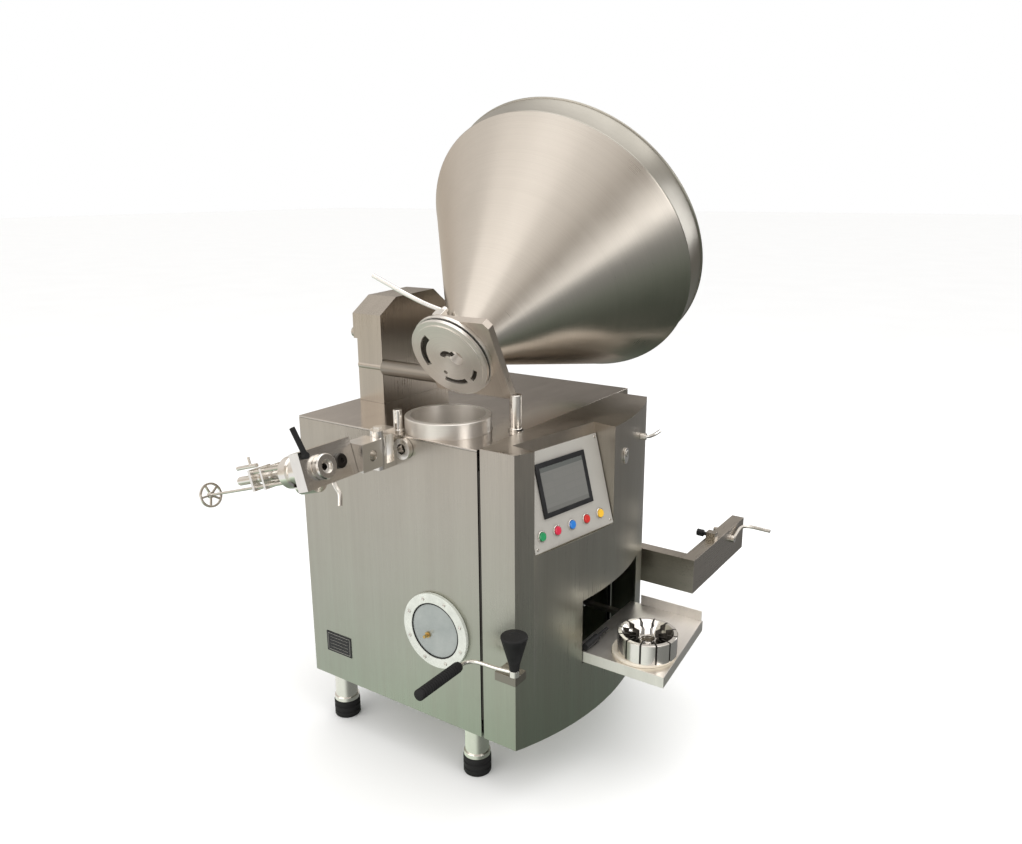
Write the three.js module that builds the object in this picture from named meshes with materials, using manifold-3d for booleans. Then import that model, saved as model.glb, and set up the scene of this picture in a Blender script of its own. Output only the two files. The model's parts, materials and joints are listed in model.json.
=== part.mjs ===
// Vacuum portioning filler: a stainless cabinet on four feet with a vane pump in its deck, a tilting
// hopper on a side column, a swing-out twisting head, a bowed control door and a bin lifting arm.
// Millimetres, +Z up. The operator stands on the -Y side and the control door is on the +X side.
import * as THREE from 'three';
import { mergeVertices } from 'three/addons/utils/BufferGeometryUtils.js';
import Module from 'manifold-3d';

const wasm = await Module();
wasm.setup();

// ---- driving dimensions ----------------------------------------------------------------------
const FIT = 0.3;                 // gap between pieces that touch
const RUN = 0.5;                 // running clearance of a shaft in its bore
const bodyW = 700;               // cabinet width, X
const bodyD = 908;               // cabinet depth, Y
const bodyH = 900;               // cabinet height without the feet
const legH = 180;                // floor to the cabinet underside
const sheet = 3;                 // cabinet sheet
const deckT = 6;                 // top deck plate

const footR = 44;                // rubber foot
const footH = 60;
const legR = 37.5;               // leg tube
const legInset = 68;             // leg centre in from the cabinet sides

const doorGap = 10;              // cabinet side to the door's back edge
const doorL = bodyD - 102;       // door length along Y
const doorEnd = 124;             // door face at its two ends, from the cabinet side
const doorBow = 90;              // rise of the bowed face over its ends
const doorH = bodyH + 5;
const doorSkin = 3;

const panelY0 = 60;              // control recess, start and end along the door
const panelY1 = 405;
const panelZ = doorH - 305;      // lower edge of the recess
const panelDepth = 85;           // set-back of the recess at the top of the door
const plateT = 3;                // control panel plate
const screenW = 212;
const screenH = 158;
const buttonPitch = 64;
const buttonR = 12.5;
const bezelR = 16;
const buttonStroke = 3;

const trayY0 = 252;              // storage tray and its opening in the door
const trayY1 = doorL - 170;
const trayZ = 230;
const trayRim = 35;
const trayOut = 468;             // tray's near outer corner, X
const trayTaper = 38;            // how much less the far outer corner reaches
const trayTail = 170;            // tray's inner edge, X
const traySlide = 265;
const openingGap = 4;
const openingTop = 400;

const boreR = 112;               // pump bore
const housingR = boreR + 18;
const pumpX = -203;              // pump axis
const pumpY = housingR + 5;
const housingTop = bodyH + 45;
const boreDepth = 112;
const housingFloor = 18;
const shaftR = 19;

const hopperX = -163;            // hopper axis
const hopperY = 123;
const hingeY = 271;              // hopper tilt axis, parallel to X
const plateZ = bodyH + 76.5;     // hopper base plate, closed
const plateThick = 24.5;
const hingeZ = plateZ + plateThick + 21;
const hopperTilt = 62.8;         // degrees, laid back for cleaning
const hopperNeckR = 72;
const hopperRimR = 470;
const hopperConeH = 550;
const hopperRimH = 95;
const hopperWall = 3;
const coverR = housingR + 1;     // pump cover disc under the base plate
const coverT = 30.5;
const hingePinR = 14;

const columnW = 108;             // hopper column
const columnInset = 17;
const coverHang = 14;            // how far its cover hangs over on the outer side
const columnY0 = 261;
const columnY1 = 605;
const columnShoulder = 293;      // column heights above the deck
const columnTop = 350;
const columnWall = 4;

const portX = -259;              // outlet port on the front face
const portZ = bodyH - 36;
const portR = 31;
const portBore = 16;
const portReach = 18;
const swingX = -316;             // vertical hinge of the twisting head
const swingY = -51;
const barrelR = 23;
const barrelH = 84;
const headDroop = 17;            // degrees the head hangs about its arm
const armShaftR = 16;
const hornR = 13;
const hornL = 362;
const hornY = -272;
const ringR = 36;

const glassX = -160;             // sight glass
const glassZ = 309;
const glassR = 120;
const windowR = 89;

const kneeX = 150;               // knee lever pivot
const kneeY = -43;
const kneeZ = 288;
const gripL = 209;
const gripR = 16;

const armY = bodyD - 26;         // lifting arm axis
const armZ = 263;
const armTall = 126;
const armThick = 47;
const armReach = 302;            // outer face of the arm, X
const armBack = armY + 475;      // rear end of the arm, Y
const armShaft = 20;
const armHub = 22.5;             // bearing hub through the cabinet side

// ---- materials -------------------------------------------------------------------------------
const skin = (name, color, roughness, metalness) =>
  new THREE.MeshStandardMaterial({ name, color, roughness, metalness });
const brushed = () => skin('brushed_stainless', 0xb5aea3, 0.38, 1);
const polished = () => skin('polished_stainless', 0xd2cfc9, 0.16, 1);
const castSteel = () => skin('machined_steel', 0xc0bdb6, 0.3, 1);
const rubber = () => skin('black_rubber', 0x1b1b1c, 0.8, 0);
const plastic = (color) => skin('plastic', color, 0.4, 0);

// ---- geometry helpers ------------------------------------------------------------------------
const DEG = Math.PI / 180;

function clean(geometry) {
  const bare = geometry.clone();
  bare.deleteAttribute('normal');
  bare.deleteAttribute('uv');
  bare.clearGroups();
  const merged = mergeVertices(bare, 1e-4);
  const index = merged.index.array;
  const kept = [];
  for (let i = 0; i < index.length; i += 3) {
    const [a, b, c] = [index[i], index[i + 1], index[i + 2]];
    if (a !== b && b !== c && c !== a) kept.push(a, b, c);
  }
  const p = merged.attributes.position;
  const [va, vb, vc] = [new THREE.Vector3(), new THREE.Vector3(), new THREE.Vector3()];
  let volume = 0;
  for (let i = 0; i < kept.length; i += 3) {
    va.fromBufferAttribute(p, kept[i]);
    vb.fromBufferAttribute(p, kept[i + 1]);
    vc.fromBufferAttribute(p, kept[i + 2]);
    volume += va.dot(vb.cross(vc));
  }
  if (volume < 0) {
    for (let i = 0; i < kept.length; i += 3) [kept[i], kept[i + 1]] = [kept[i + 1], kept[i]];
  }
  merged.setIndex(kept);
  return merged;
}

function solid(geometry) {
  const g = clean(geometry);
  return new wasm.Manifold(new wasm.Mesh({
    numProp: 3,
    vertProperties: new Float32Array(g.attributes.position.array),
    triVerts: new Uint32Array(g.index.array),
  }));
}

function geometryOf(body) {
  const mesh = body.getMesh();
  const points = new Float32Array(mesh.numVert * 3);
  for (let i = 0; i < mesh.numVert; i += 1) {
    for (let k = 0; k < 3; k += 1) points[i * 3 + k] = mesh.vertProperties[i * mesh.numProp + k];
  }
  const g = new THREE.BufferGeometry();
  g.setAttribute('position', new THREE.BufferAttribute(points, 3));
  g.setIndex(Array.from(mesh.triVerts));
  g.computeVertexNormals();
  return g;
}

function cut(base, ...tools) {
  let body = solid(base);
  for (const tool of tools) body = body.subtract(solid(tool));
  return geometryOf(body);
}

function join(base, ...others) {
  let body = solid(base);
  for (const other of others) body = body.add(solid(other));
  return geometryOf(body);
}

const box = (x0, x1, y0, y1, z0, z1) =>
  new THREE.BoxGeometry(x1 - x0, y1 - y0, z1 - z0)
    .translate((x0 + x1) / 2, (y0 + y1) / 2, (z0 + z1) / 2);

// A round bar along one axis, from a to b, through the other two coordinates.
function rod(axis, r, a, b, u, v, sides = 32, r2 = r) {
  const g = new THREE.CylinderGeometry(r2, r, b - a, sides);
  if (axis === 'x') return g.rotateZ(-Math.PI / 2).translate((a + b) / 2, u, v);
  if (axis === 'y') return g.translate(u, (a + b) / 2, v);
  return g.rotateX(Math.PI / 2).translate(u, v, (a + b) / 2);
}

// A turned piece about the vertical line through x, y. The profile holds [radius, height] pairs.
function turned(profile, x, y, sides = 48) {
  const points = profile.map(([r, z]) => new THREE.Vector2(r, z));
  const closed = profile[0][0] > 0 ? [...points, points[0].clone()] : points;
  return new THREE.LatheGeometry(closed, sides).rotateX(Math.PI / 2).translate(x, y, 0);
}

// The same about an axis parallel to X or Y through the given point.
function turnedX(profile, y, z, sides = 48) {
  return turned(profile, 0, 0, sides).rotateY(Math.PI / 2).translate(0, y, z);
}

function turnedY(profile, x, z, sides = 48) {
  return turned(profile, 0, 0, sides).rotateX(-Math.PI / 2).translate(x, 0, z);
}

function outline(points) {
  return new THREE.Shape(points.map(([x, y]) => new THREE.Vector2(x, y)));
}

const prismZ = (points, z0, z1) =>
  new THREE.ExtrudeGeometry(outline(points), { depth: z1 - z0, bevelEnabled: false, curveSegments: 1 })
    .translate(0, 0, z0);

// A profile in Y, Z carried along X from x0 to x1.
const prismX = (points, x0, x1) =>
  new THREE.ExtrudeGeometry(outline(points), { depth: x1 - x0, bevelEnabled: false, curveSegments: 1 })
    .applyMatrix4(new THREE.Matrix4().makeBasis(
      new THREE.Vector3(0, 1, 0), new THREE.Vector3(0, 0, 1), new THREE.Vector3(1, 0, 0)))
    .translate(x0, 0, 0);

// A closed outline moved in by t (or out, for a negative t).
function inset(points, t) {
  const n = points.length;
  let area = 0;
  for (let i = 0; i < n; i += 1) {
    const [a, b] = [points[i], points[(i + 1) % n]];
    area += a[0] * b[1] - b[0] * a[1];
  }
  const side = Math.sign(area);
  const edge = (i) => {
    const [a, b] = [points[(i + n) % n], points[(i + 1 + n) % n]];
    const d = [b[0] - a[0], b[1] - a[1]];
    const l = Math.hypot(d[0], d[1]);
    const m = [-d[1] / l * side * t, d[0] / l * side * t];
    return { p: [a[0] + m[0], a[1] + m[1]], d };
  };
  return points.map((_, i) => {
    const [e, f] = [edge(i - 1), edge(i)];
    const cross = e.d[0] * f.d[1] - e.d[1] * f.d[0];
    const s = ((f.p[0] - e.p[0]) * f.d[1] - (f.p[1] - e.p[1]) * f.d[0]) / cross;
    return [e.p[0] + e.d[0] * s, e.p[1] + e.d[1] * s];
  });
}

// A round bar bent along a path.
function bentBar(points, r, sides = 10, steps = 12) {
  const path = new THREE.CatmullRomCurve3(points.map((p) => new THREE.Vector3(...p)), false, 'centripetal');
  const ring = [];
  for (let i = 0; i < sides; i += 1) {
    const a = i / sides * 2 * Math.PI;
    ring.push([r * Math.cos(a), r * Math.sin(a)]);
  }
  return new THREE.ExtrudeGeometry(outline(ring), { steps, extrudePath: path, bevelEnabled: false });
}

const machine = new THREE.Group();

function add(name, geometry, material, parent = machine) {
  const g = clean(geometry);
  g.computeVertexNormals();
  const mesh = new THREE.Mesh(g, material);
  mesh.name = name;
  parent.add(mesh);
  return mesh;
}

// ---- cabinet ---------------------------------------------------------------------------------
const trayWindow = { y0: trayY0 - 44, y1: trayY1 + 42, z0: trayZ - trayRim - 30, z1: openingTop + 15 };
const wrapTop = bodyH - deckT - FIT;
const wrapPlan = [
  [0, bodyD], [0, 0], [-bodyW, 0], [-bodyW, bodyD],
  [-bodyW + sheet, bodyD], [-bodyW + sheet, sheet], [-sheet, sheet], [-sheet, bodyD],
].reverse();
add('cabinet_wrap', cut(
  prismZ(wrapPlan, 0, wrapTop),
  rod('y', windowR + 6, -10, 10, glassX, glassZ, 48),
  rod('y', portR + 1, -10, 10, portX, portZ, 32),
  box(-20, 20, trayWindow.y0, trayWindow.y1, trayWindow.z0, trayWindow.z1),
  rod('x', armHub + 1, -20, 20, armY, armZ, 32),
), brushed());

add('top_deck', cut(
  box(-bodyW, 0, 0, bodyD, bodyH - deckT, bodyH),
  rod('z', housingR + 1, bodyH - 20, bodyH + 20, pumpX, pumpY, 44),
), polished());

const slots = [];
for (let i = 0; i < 8; i += 1) {
  slots.push(box(-bodyW / 2 - 110, -bodyW / 2 + 110, bodyD - 20, bodyD + 20, 190 + i * 26, 200 + i * 26));
}
add('rear_panel', cut(
  box(-bodyW + sheet + FIT, -sheet - FIT, bodyD - sheet, bodyD, 8, wrapTop),
  ...slots,
), brushed());

const legSpots = [
  ['front_left', -bodyW + legInset, legInset],
  ['front_right', -legInset, legInset],
  ['rear_left', -bodyW + legInset, bodyD - legInset],
  ['rear_right', -legInset, bodyD - legInset],
];
add('base_frame', join(
  box(-bodyW + sheet + RUN, -sheet - RUN, sheet + RUN, bodyD - sheet - RUN, 0, 6),
  ...legSpots.map(([, x, y]) => rod('z', legR, -legH + footH + FIT, 3, x, y, 32)),
), polished());

for (const [where, x, y] of legSpots) {
  const profile = [
    [0, 0], [footR - 4, 0], [footR, 5], [footR, footH - 4], [footR - 4, footH], [0, footH],
  ];
  add(`foot_${where}`, turned(profile.map(([r, z]) => [r, z - legH]), x, y, 28), rubber());
}

const nameX0 = -638;
const nameZ0 = 93;
const nameW = 111;
const nameH = 72;
add('name_plate', cut(
  box(nameX0, nameX0 + nameW, -1.8, -FIT, nameZ0, nameZ0 + nameH),
  rod('y', 2.2, -5, 5, nameX0 + 8, nameZ0 + 8, 12),
  rod('y', 2.2, -5, 5, nameX0 + nameW - 8, nameZ0 + nameH - 8, 12),
), plastic(0x161616));

// ---- sight glass -----------------------------------------------------------------------------
const glassT = 13;
const bolts = [];
for (let i = 0; i < 8; i += 1) {
  const a = (i + 0.5) / 8 * 2 * Math.PI;
  const r = (glassR + windowR) / 2;
  bolts.push(rod('y', 5, -glassT - 3, -glassT + 2, glassX + r * Math.cos(a), glassZ + r * Math.sin(a), 6));
}
add('sight_ring', join(
  turnedY([[windowR + FIT, -glassT], [glassR - 2, -glassT], [glassR, -glassT + 2], [glassR, -FIT],
    [windowR + FIT, -FIT]], glassX, glassZ, 44),
  ...bolts,
), plastic(0xe4e6e4));
add('sight_window', rod('y', windowR, -glassT + 4, -2, glassX, glassZ, 44), plastic(0x8f9a95));
const fittingX = glassX - 26;
const fittingZ = glassZ - 19;
add('sight_fitting', join(
  rod('y', 10, -glassT - 3, -glassT + 4 - FIT, fittingX, fittingZ, 6),
  rod('y', 5, -glassT - 18, -glassT - 2, fittingX, fittingZ, 16),
), skin('brass', 0xb58a45, 0.3, 1));

// ---- vane pump in the deck -------------------------------------------------------------------
const boreFloor = housingTop - boreDepth;
add('pump_housing', cut(
  turned([
    [shaftR + 6, boreFloor - housingFloor], [housingR, boreFloor - housingFloor], [housingR, housingTop - 2],
    [housingR - 2, housingTop], [boreR, housingTop], [boreR, boreFloor], [shaftR + 6, boreFloor],
  ], pumpX, pumpY, 44),
  rod('y', portBore, -20, pumpY, portX, portZ, 24),
), polished());
const gearboxTop = boreFloor - housingFloor - FIT;
add('pump_shaft', join(
  rod('z', shaftR, gearboxTop - 60, boreFloor + 40, pumpX, pumpY, 32),
  rod('z', shaftR - 3, boreFloor + 39, housingTop - 30, pumpX, pumpY, 6),
), castSteel());
add('pump_drive', cut(
  join(
    box(pumpX - 110, pumpX + 90, pumpY - 95, pumpY + 125, gearboxTop - 170, gearboxTop),
    rod('z', 118, gearboxTop - 190, gearboxTop - 165, pumpX - 10, pumpY + 25, 32),
    rod('z', 95, gearboxTop - 500, gearboxTop - 185, pumpX - 10, pumpY + 25, 32),
  ),
  rod('z', shaftR + RUN, gearboxTop - 60 - RUN, gearboxTop + 10, pumpX, pumpY, 32),
), skin('grey_paint', 0x6f7479, 0.5, 0.2));

// Studs that hold the closed hopper: a footed post with a threaded hole in its top.
function stud(x, y, r, h) {
  const top = bodyH + h;
  return cut(
    join(
      rod('z', r, bodyH + FIT, top, x, y, 24),
      rod('z', r + 4, bodyH + FIT, bodyH + 8, x, y, 24),
    ),
    rod('z', r / 2, top - 12, top + 5, x, y, 24),
  );
}
const studReach = housingR + 20;
add('lock_stud_left', stud(pumpX - 0.7133 * studReach, pumpY - 0.7 * studReach, 13, 66), polished());
add('lock_stud_right', stud(-24, 228, 18, 108), polished());

add('outlet_port', cut(
  join(
    rod('y', portR, -portReach, -FIT, portX, portZ, 32),
    rod('y', portR - 1, -2, sheet + 1.5, portX, portZ, 32),
  ),
  rod('y', portBore, -50, 50, portX, portZ, 32),
), polished());

// ---- hopper column ---------------------------------------------------------------------------
const columnX0 = -bodyW + columnInset;
const columnX1 = columnX0 + columnW;
const coverBoltR = 17;
const lugX0 = hopperX - 163;     // lug of the hopper on the hinge pin
const lugX1 = lugX0 + 27;
const coverX0 = columnX0 - coverHang;
const columnBase = bodyH + FIT;
const columnSide = [
  [columnY0, columnBase], [columnY1, columnBase], [columnY1, bodyH + columnShoulder + 7],
  [columnY1 - 70, bodyH + columnTop + 3], [columnY0 + 79, bodyH + columnTop - 5],
  [columnY0, bodyH + columnShoulder],
];
const coverFrom = bodyH + 211;
const coverSide = inset(columnSide, -2);
const openSide = inset(columnSide, columnWall).map(([y, z], i) => (i < 2 ? [y, z - 20] : [y, z]));
const coverBand = cut(
  prismX(coverSide, coverX0, columnX1 + 1),
  box(columnX0 - 50, columnX1 + 50, columnY0 - 50, columnY1 + 50, columnBase - 50, coverFrom),
);
add('hopper_column', join(
  cut(
    join(prismX(columnSide, columnX0, columnX1), coverBand),
    prismX(openSide, columnX0 + columnWall, columnX1 - columnWall),
  ),
  rod('x', coverBoltR, coverX0 - 12, coverX0 + 2, columnY0 + 16, coverFrom + 18, 24),
  rod('x', hingePinR, columnX0 + 1, lugX1 + 4, hingeY, hingeZ, 32),
), brushed());

// ---- hopper, drawn closed over the pump and then laid back about its hinge -----------------------
const closedHopper = new THREE.Group();
closedHopper.position.set(0, -hingeY, -hingeZ);
const tiltedHopper = new THREE.Group();
tiltedHopper.position.set(0, hingeY, hingeZ);
tiltedHopper.rotation.x = -hopperTilt * DEG;
tiltedHopper.add(closedHopper);
machine.add(tiltedHopper);

const plateTop = plateZ + plateThick;
const basePlate = [
  [hopperX - 78, 16], [hopperX + 105, 16], [hopperX + 120, 34], [hopperX + 120, 285],
  [hopperX - 160, 285], [hopperX - 160, 96],
];
const outletR = 56;
add('hopper_base_plate', cut(
  prismZ(basePlate, plateZ, plateTop),
  rod('z', outletR, plateZ - 10, plateTop + 10, hopperX, hopperY, 32),
), polished(), closedHopper);

const coverTop = plateZ - FIT;
const coverFace = coverTop - coverT + RUN;
const pocket = (r0, r1, a0, a1, depth) => {
  const points = [];
  for (let i = 0; i <= 6; i += 1) {
    const a = (a0 + (a1 - a0) * i / 6) * DEG;
    points.push([pumpX + r1 * Math.cos(a), pumpY + r1 * Math.sin(a)]);
  }
  for (let i = 6; i >= 0; i -= 1) {
    const a = (a0 + (a1 - a0) * i / 6) * DEG;
    points.push([pumpX + r0 * Math.cos(a), pumpY + r0 * Math.sin(a)]);
  }
  return prismZ(points, coverFace - 5, coverFace + depth);
};
add('pump_cover_disc', cut(
  turned([
    [0, coverFace], [coverR - 14, coverFace], [coverR - 14, coverFace + 3], [coverR, coverFace + 3],
    [coverR, coverFace + 14], [coverR - 5, coverFace + 14], [coverR - 5, coverFace + 19],
    [coverR + 4, coverFace + 19], [coverR + 4, coverTop], [0, coverTop],
  ], pumpX, pumpY, 40),
  rod('z', 24, coverFace - 5, coverTop + 5, hopperX - 8, hopperY + 4, 32),
  rod('z', 7, coverFace - 5, coverFace + 16, pumpX - 30, pumpY + 52, 16),
  pocket(78, 98, 160, 235, 9),
  pocket(76, 92, 62, 118, 6),
  pocket(84, 98, 20, 48, 6),
  pocket(12, 30, 200, 330, 7),
), polished(), closedHopper);

const neckZ = plateTop + FIT;
const coneTop = neckZ + hopperConeH;
const rimTop = coneTop + hopperRimH;
add('hopper_cone', turned([
  [hopperNeckR, neckZ], [hopperNeckR + 10, neckZ], [hopperNeckR + 10, neckZ + 6],
  [hopperNeckR + 3, neckZ + 8], [hopperRimR, coneTop], [hopperRimR, rimTop - 6],
  [hopperRimR + 4, rimTop - 6], [hopperRimR + 4, rimTop],
  [hopperRimR - hopperWall, rimTop],
  [hopperRimR - hopperWall, coneTop + 2], [hopperNeckR - 1, neckZ + 10],
], hopperX, hopperY, 64), brushed(), closedHopper);

// The lug stands on the base plate, and a sleeve joined to it covers the pin up to the column.
const sleeveR = 26;
const lugSide = [
  [hingeY - 66, plateTop + FIT], [hingeY + 20, plateTop + FIT], [hingeY + 28, hingeZ + 12],
  [hingeY + 12, hingeZ + 27], [hingeY - 12, hingeZ + 27], [hingeY - 42, hingeZ + 8],
];
add('hopper_hinge_arm', cut(
  join(
    rod('x', sleeveR, columnX1 + 4, lugX0 - 1, hingeY, hingeZ, 32),
    rod('x', sleeveR - 6, lugX0 - 3, lugX0 + 5, hingeY, hingeZ, 32),
    prismX(lugSide, lugX0 + 3, lugX1),
  ),
  rod('x', hingePinR + RUN, columnX1 - 20, lugX1 + 20, hingeY, hingeZ, 32),
), castSteel(), closedHopper);

const clampX = hopperX - 84;
const clampY = 32;
add('clamp_block', cut(
  box(clampX - 10, clampX + 22, clampY - 14, clampY + 13, plateTop + FIT, plateTop + 30),
  rod('z', 8 + RUN, plateTop + 8, plateTop + 40, clampX + 4, clampY, 24),
), castSteel(), closedHopper);
add('clamp_lever', join(
  rod('z', 8, plateTop + 8 + RUN, plateTop + 46, clampX + 4, clampY, 24),
  rod('z', 12, plateTop + 30 + RUN, plateTop + 46, clampX + 4, clampY, 24),
  bentBar([
    [clampX + 4, clampY, plateTop + 38], [clampX - 62, clampY - 20, plateTop + 40],
    [clampX - 130, clampY - 52, plateTop + 41], [clampX - 232, clampY - 106, plateTop + 43],
  ], 7, 10, 10),
), polished(), closedHopper);

// ---- twisting head ---------------------------------------------------------------------------
// Fixed bracket and pin on the front face.
const barrelZ0 = portZ - barrelH / 2;
const barrelZ1 = portZ + barrelH / 2;
const bracketX1 = portX - portR - 4;
const bracketX0 = swingX - 29;
const lug = (z0, z1) => join(
  box(bracketX0, Math.min(bracketX1, swingX + 29), swingY + 2, -FIT, z0, z1),
  rod('z', barrelR - 1, z0, z1, swingX, swingY, 32),
);
add('swing_bracket', join(
  box(bracketX0, Math.min(bracketX1, swingX + 29), -9, -FIT, barrelZ0 - 16, barrelZ1 + 16),
  lug(barrelZ0 - 16, barrelZ0 - RUN),
  lug(barrelZ1 + RUN, barrelZ1 + 16),
  rod('z', 8, barrelZ0 - 22, barrelZ1 + 18, swingX, swingY, 24),
  rod('z', 13, barrelZ1 + 15, barrelZ1 + 26, swingX, swingY, 6),
), polished());

// Arm that turns on the pin: the barrel, the square union that meets the port, and the roll shaft.
const unionFace = swingX - swingY - portReach - RUN;
const unionY = swingY - (portX - swingX);
const rollX = swingX - 19;
const headY1 = unionY - 43;
add('swing_arm', cut(
  join(
    rod('z', barrelR, barrelZ0, barrelZ1, swingX, swingY, 32),
    box(rollX - 14, swingX + 8, unionY - 10, swingY, portZ - 30, portZ + 30),
    box(rollX - 14, unionFace, unionY - 42, unionY + 38, portZ - 41, portZ + 41),
    rod('y', armShaftR, headY1 - 66, unionY - 40, rollX, portZ, 32),
  ),
  rod('z', 8 + RUN, barrelZ0 - 30, barrelZ1 + 30, swingX, swingY, 24),
  rod('x', portBore, unionFace - 30, unionFace + 10, unionY, portZ, 32),
), polished());

// Head that rolls on the shaft, drawn level and then hung by its droop.
const levelHead = new THREE.Group();
levelHead.position.set(-rollX, 0, -portZ);
const hungHead = new THREE.Group();
hungHead.position.set(rollX, 0, portZ);
hungHead.rotation.y = -headDroop * DEG;
hungHead.add(levelHead);
machine.add(hungHead);

const caseX1 = rollX + 19;
const caseX0 = rollX - 19;
const caseY0 = hornY - 68;
const caseZ0 = portZ - 50;
const caseZ1 = portZ + 56;
const bearingX1 = caseX0 - FIT;
const bearingX0 = caseX0 - 96;
add('head_gearcase', cut(
  join(
    box(caseX0, caseX1, caseY0, headY1, caseZ0, caseZ1),
    rod('x', 30, caseX0 - 66, caseX0 + 2, hornY + 6, caseZ0 + 12, 32),
    bentBar([[caseX1 - 12, hornY + 34, caseZ0 + 8], [caseX1 - 4, hornY + 32, caseZ0 - 14],
      [caseX1 + 8, hornY + 28, caseZ0 - 34], [caseX1 + 6, hornY + 20, caseZ0 - 66]], 6.5, 10, 10),
  ),
  rod('y', armShaftR + RUN, headY1 - 66 - RUN, headY1 + 10, rollX, portZ, 32),
  rod('x', hornR + 6, caseX0 - 10, caseX1 + 10, hornY, portZ, 32),
  turnedX([[0, bearingX0 - 5], [47, bearingX0 - 5], [47, caseX0], [0, caseX0]], hornY, portZ, 24),
), polished(), levelHead);
const bearing = turnedX([
  [hornR + 4, bearingX0], [42, bearingX0], [46, bearingX0 + 3], [46, bearingX0 + 30], [40, bearingX0 + 33],
  [40, bearingX1 - 8], [43, bearingX1 - 6], [43, bearingX1], [hornR + 4, bearingX1],
], hornY, portZ, 28);
add('horn_tube', turnedX([
  [hornR - 3, caseX1 - hornL], [hornR, caseX1 - hornL], [hornR, bearingX0 - 14], [hornR + 8, bearingX0 - 12],
  [hornR + 8, bearingX0 - RUN], [hornR + 3, bearingX0 - RUN], [hornR + 3, caseX1 + RUN],
  [ringR - 2, caseX1 + RUN], [ringR, caseX1 + 3], [ringR, caseX1 + 18], [ringR - 3, caseX1 + 22],
  [hornR + 6, caseX1 + 22], [hornR + 6, caseX1 + 12], [hornR - 3, caseX1 + 10],
], hornY, portZ, 32), polished(), levelHead);
const couplingY = -208;
add('drive_coupling', cut(
  turnedX([[0, caseX1 + RUN], [20, caseX1 + RUN], [21, caseX1 + 3], [21, caseX1 + 10], [18, caseX1 + 12],
    [0, caseX1 + 12]], couplingY, portZ, 32),
  rod('x', 8, caseX1 + 6, caseX1 + 20, couplingY, portZ, 6),
), skin('dark_steel', 0x2c2b2a, 0.35, 1), levelHead);

// Casing brake cage in front of the bearing, carried by it.
const cageX0 = bearingX0 - 134;
const guideR = 4;                // rod of the guide star, in the cage's lower corner
const guideY = hornY - 12;
const guideZ = portZ - 24;
const cageBars = [[-34, 22], [34, 22], [-34, -22], [34, -22]].map(([y, z]) =>
  rod('x', 5, cageX0 + 4, bearingX0 + 8, hornY + y * 0.86, portZ + z, 8));
add('horn_bearing_cage', cut(
  join(
    bearing,
    box(cageX0, cageX0 + 10, hornY - 38, hornY + 38, portZ - 31, portZ + 31),
    box(cageX0 + 52, cageX0 + 60, hornY - 38, hornY + 38, portZ - 31, portZ + 31),
    ...cageBars,
  ),
  rod('x', hornR + 6, cageX0 - 10, cageX0 + 80, hornY, portZ, 24),
  rod('x', guideR + RUN, cageX0 - 10, cageX0 + 80, guideY, guideZ, 16),
), polished(), levelHead);
add('brake_lever', join(
  rod('x', 6, cageX0 - 92, cageX0 - RUN, hornY, portZ + 38, 16),
  rod('z', 4, portZ + 36, portZ + 66, cageX0 - 30, hornY, 12),
), polished(), levelHead);

const starX = caseX1 - 507;
const spokes = [];
for (let i = 0; i < 5; i += 1) {
  const a = (i / 5 + 0.05) * 2 * Math.PI;
  spokes.push(new THREE.BoxGeometry(5, 6, 32)
    .translate(0, 0, 19)
    .rotateX(a)
    .translate(starX, guideY, guideZ));
}
add('guide_rod', join(
  rod('x', guideR, starX - 6, cageX0 + 48, guideY, guideZ, 12),
  rod('x', 9, starX - 8, starX + 8, guideY, guideZ, 16),
  turnedX([[32, starX - 3], [38, starX - 3], [38, starX + 3], [32, starX + 3]], guideY, guideZ, 32),
  ...spokes,
), polished(), levelHead);

add('head_handle', join(
  rod('x', 9, caseX1 + RUN, caseX1 + 16, caseY0 + 16, caseZ1 - 12, 20),
  bentBar([[caseX1 + 9, caseY0 + 16, caseZ1 - 12], [caseX1 + 9, caseY0 + 8, caseZ1 + 24],
    [caseX1 + 9, caseY0 - 2, caseZ1 + 68]], 8, 10, 6),
), rubber(), levelHead);

// ---- control door ----------------------------------------------------------------------------
const doorR = ((doorL / 2) ** 2 + doorBow ** 2) / (2 * doorBow);
const doorFace = (y) => doorEnd + doorBow - doorR + Math.sqrt(doorR ** 2 - (y - doorL / 2) ** 2);
function doorPlan(t, steps = 28) {
  const face = [];
  for (let i = 0; i <= steps; i += 1) {
    const y = t + (doorL - 2 * t) * i / steps;
    face.push([doorFace(y) - t, y]);
  }
  return face;
}
const outer = [[doorGap, 0], ...doorPlan(0), [doorGap, doorL]];
const inner = [[doorGap - 20, doorSkin], ...doorPlan(doorSkin), [doorGap - 20, doorL - doorSkin]];

// The recess: its floor leans back from the lower edge and runs straight from end to end.
const p0 = new THREE.Vector3(doorFace(panelY0), panelY0, panelZ);
const p1 = new THREE.Vector3(doorFace(panelY1), panelY1, panelZ);
const along = p1.clone().sub(p0).normalize();
const outward = new THREE.Vector3(along.y, -along.x, 0);
const lean = Math.atan2(panelDepth, doorH - panelZ);
const upPanel = new THREE.Vector3(0, 0, Math.cos(lean)).addScaledVector(outward, -Math.sin(lean));
const facePanel = new THREE.Vector3().crossVectors(along, upPanel).normalize();
const panelL = p0.distanceTo(p1);
const panelH = (doorH - panelZ) / Math.cos(lean);
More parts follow.
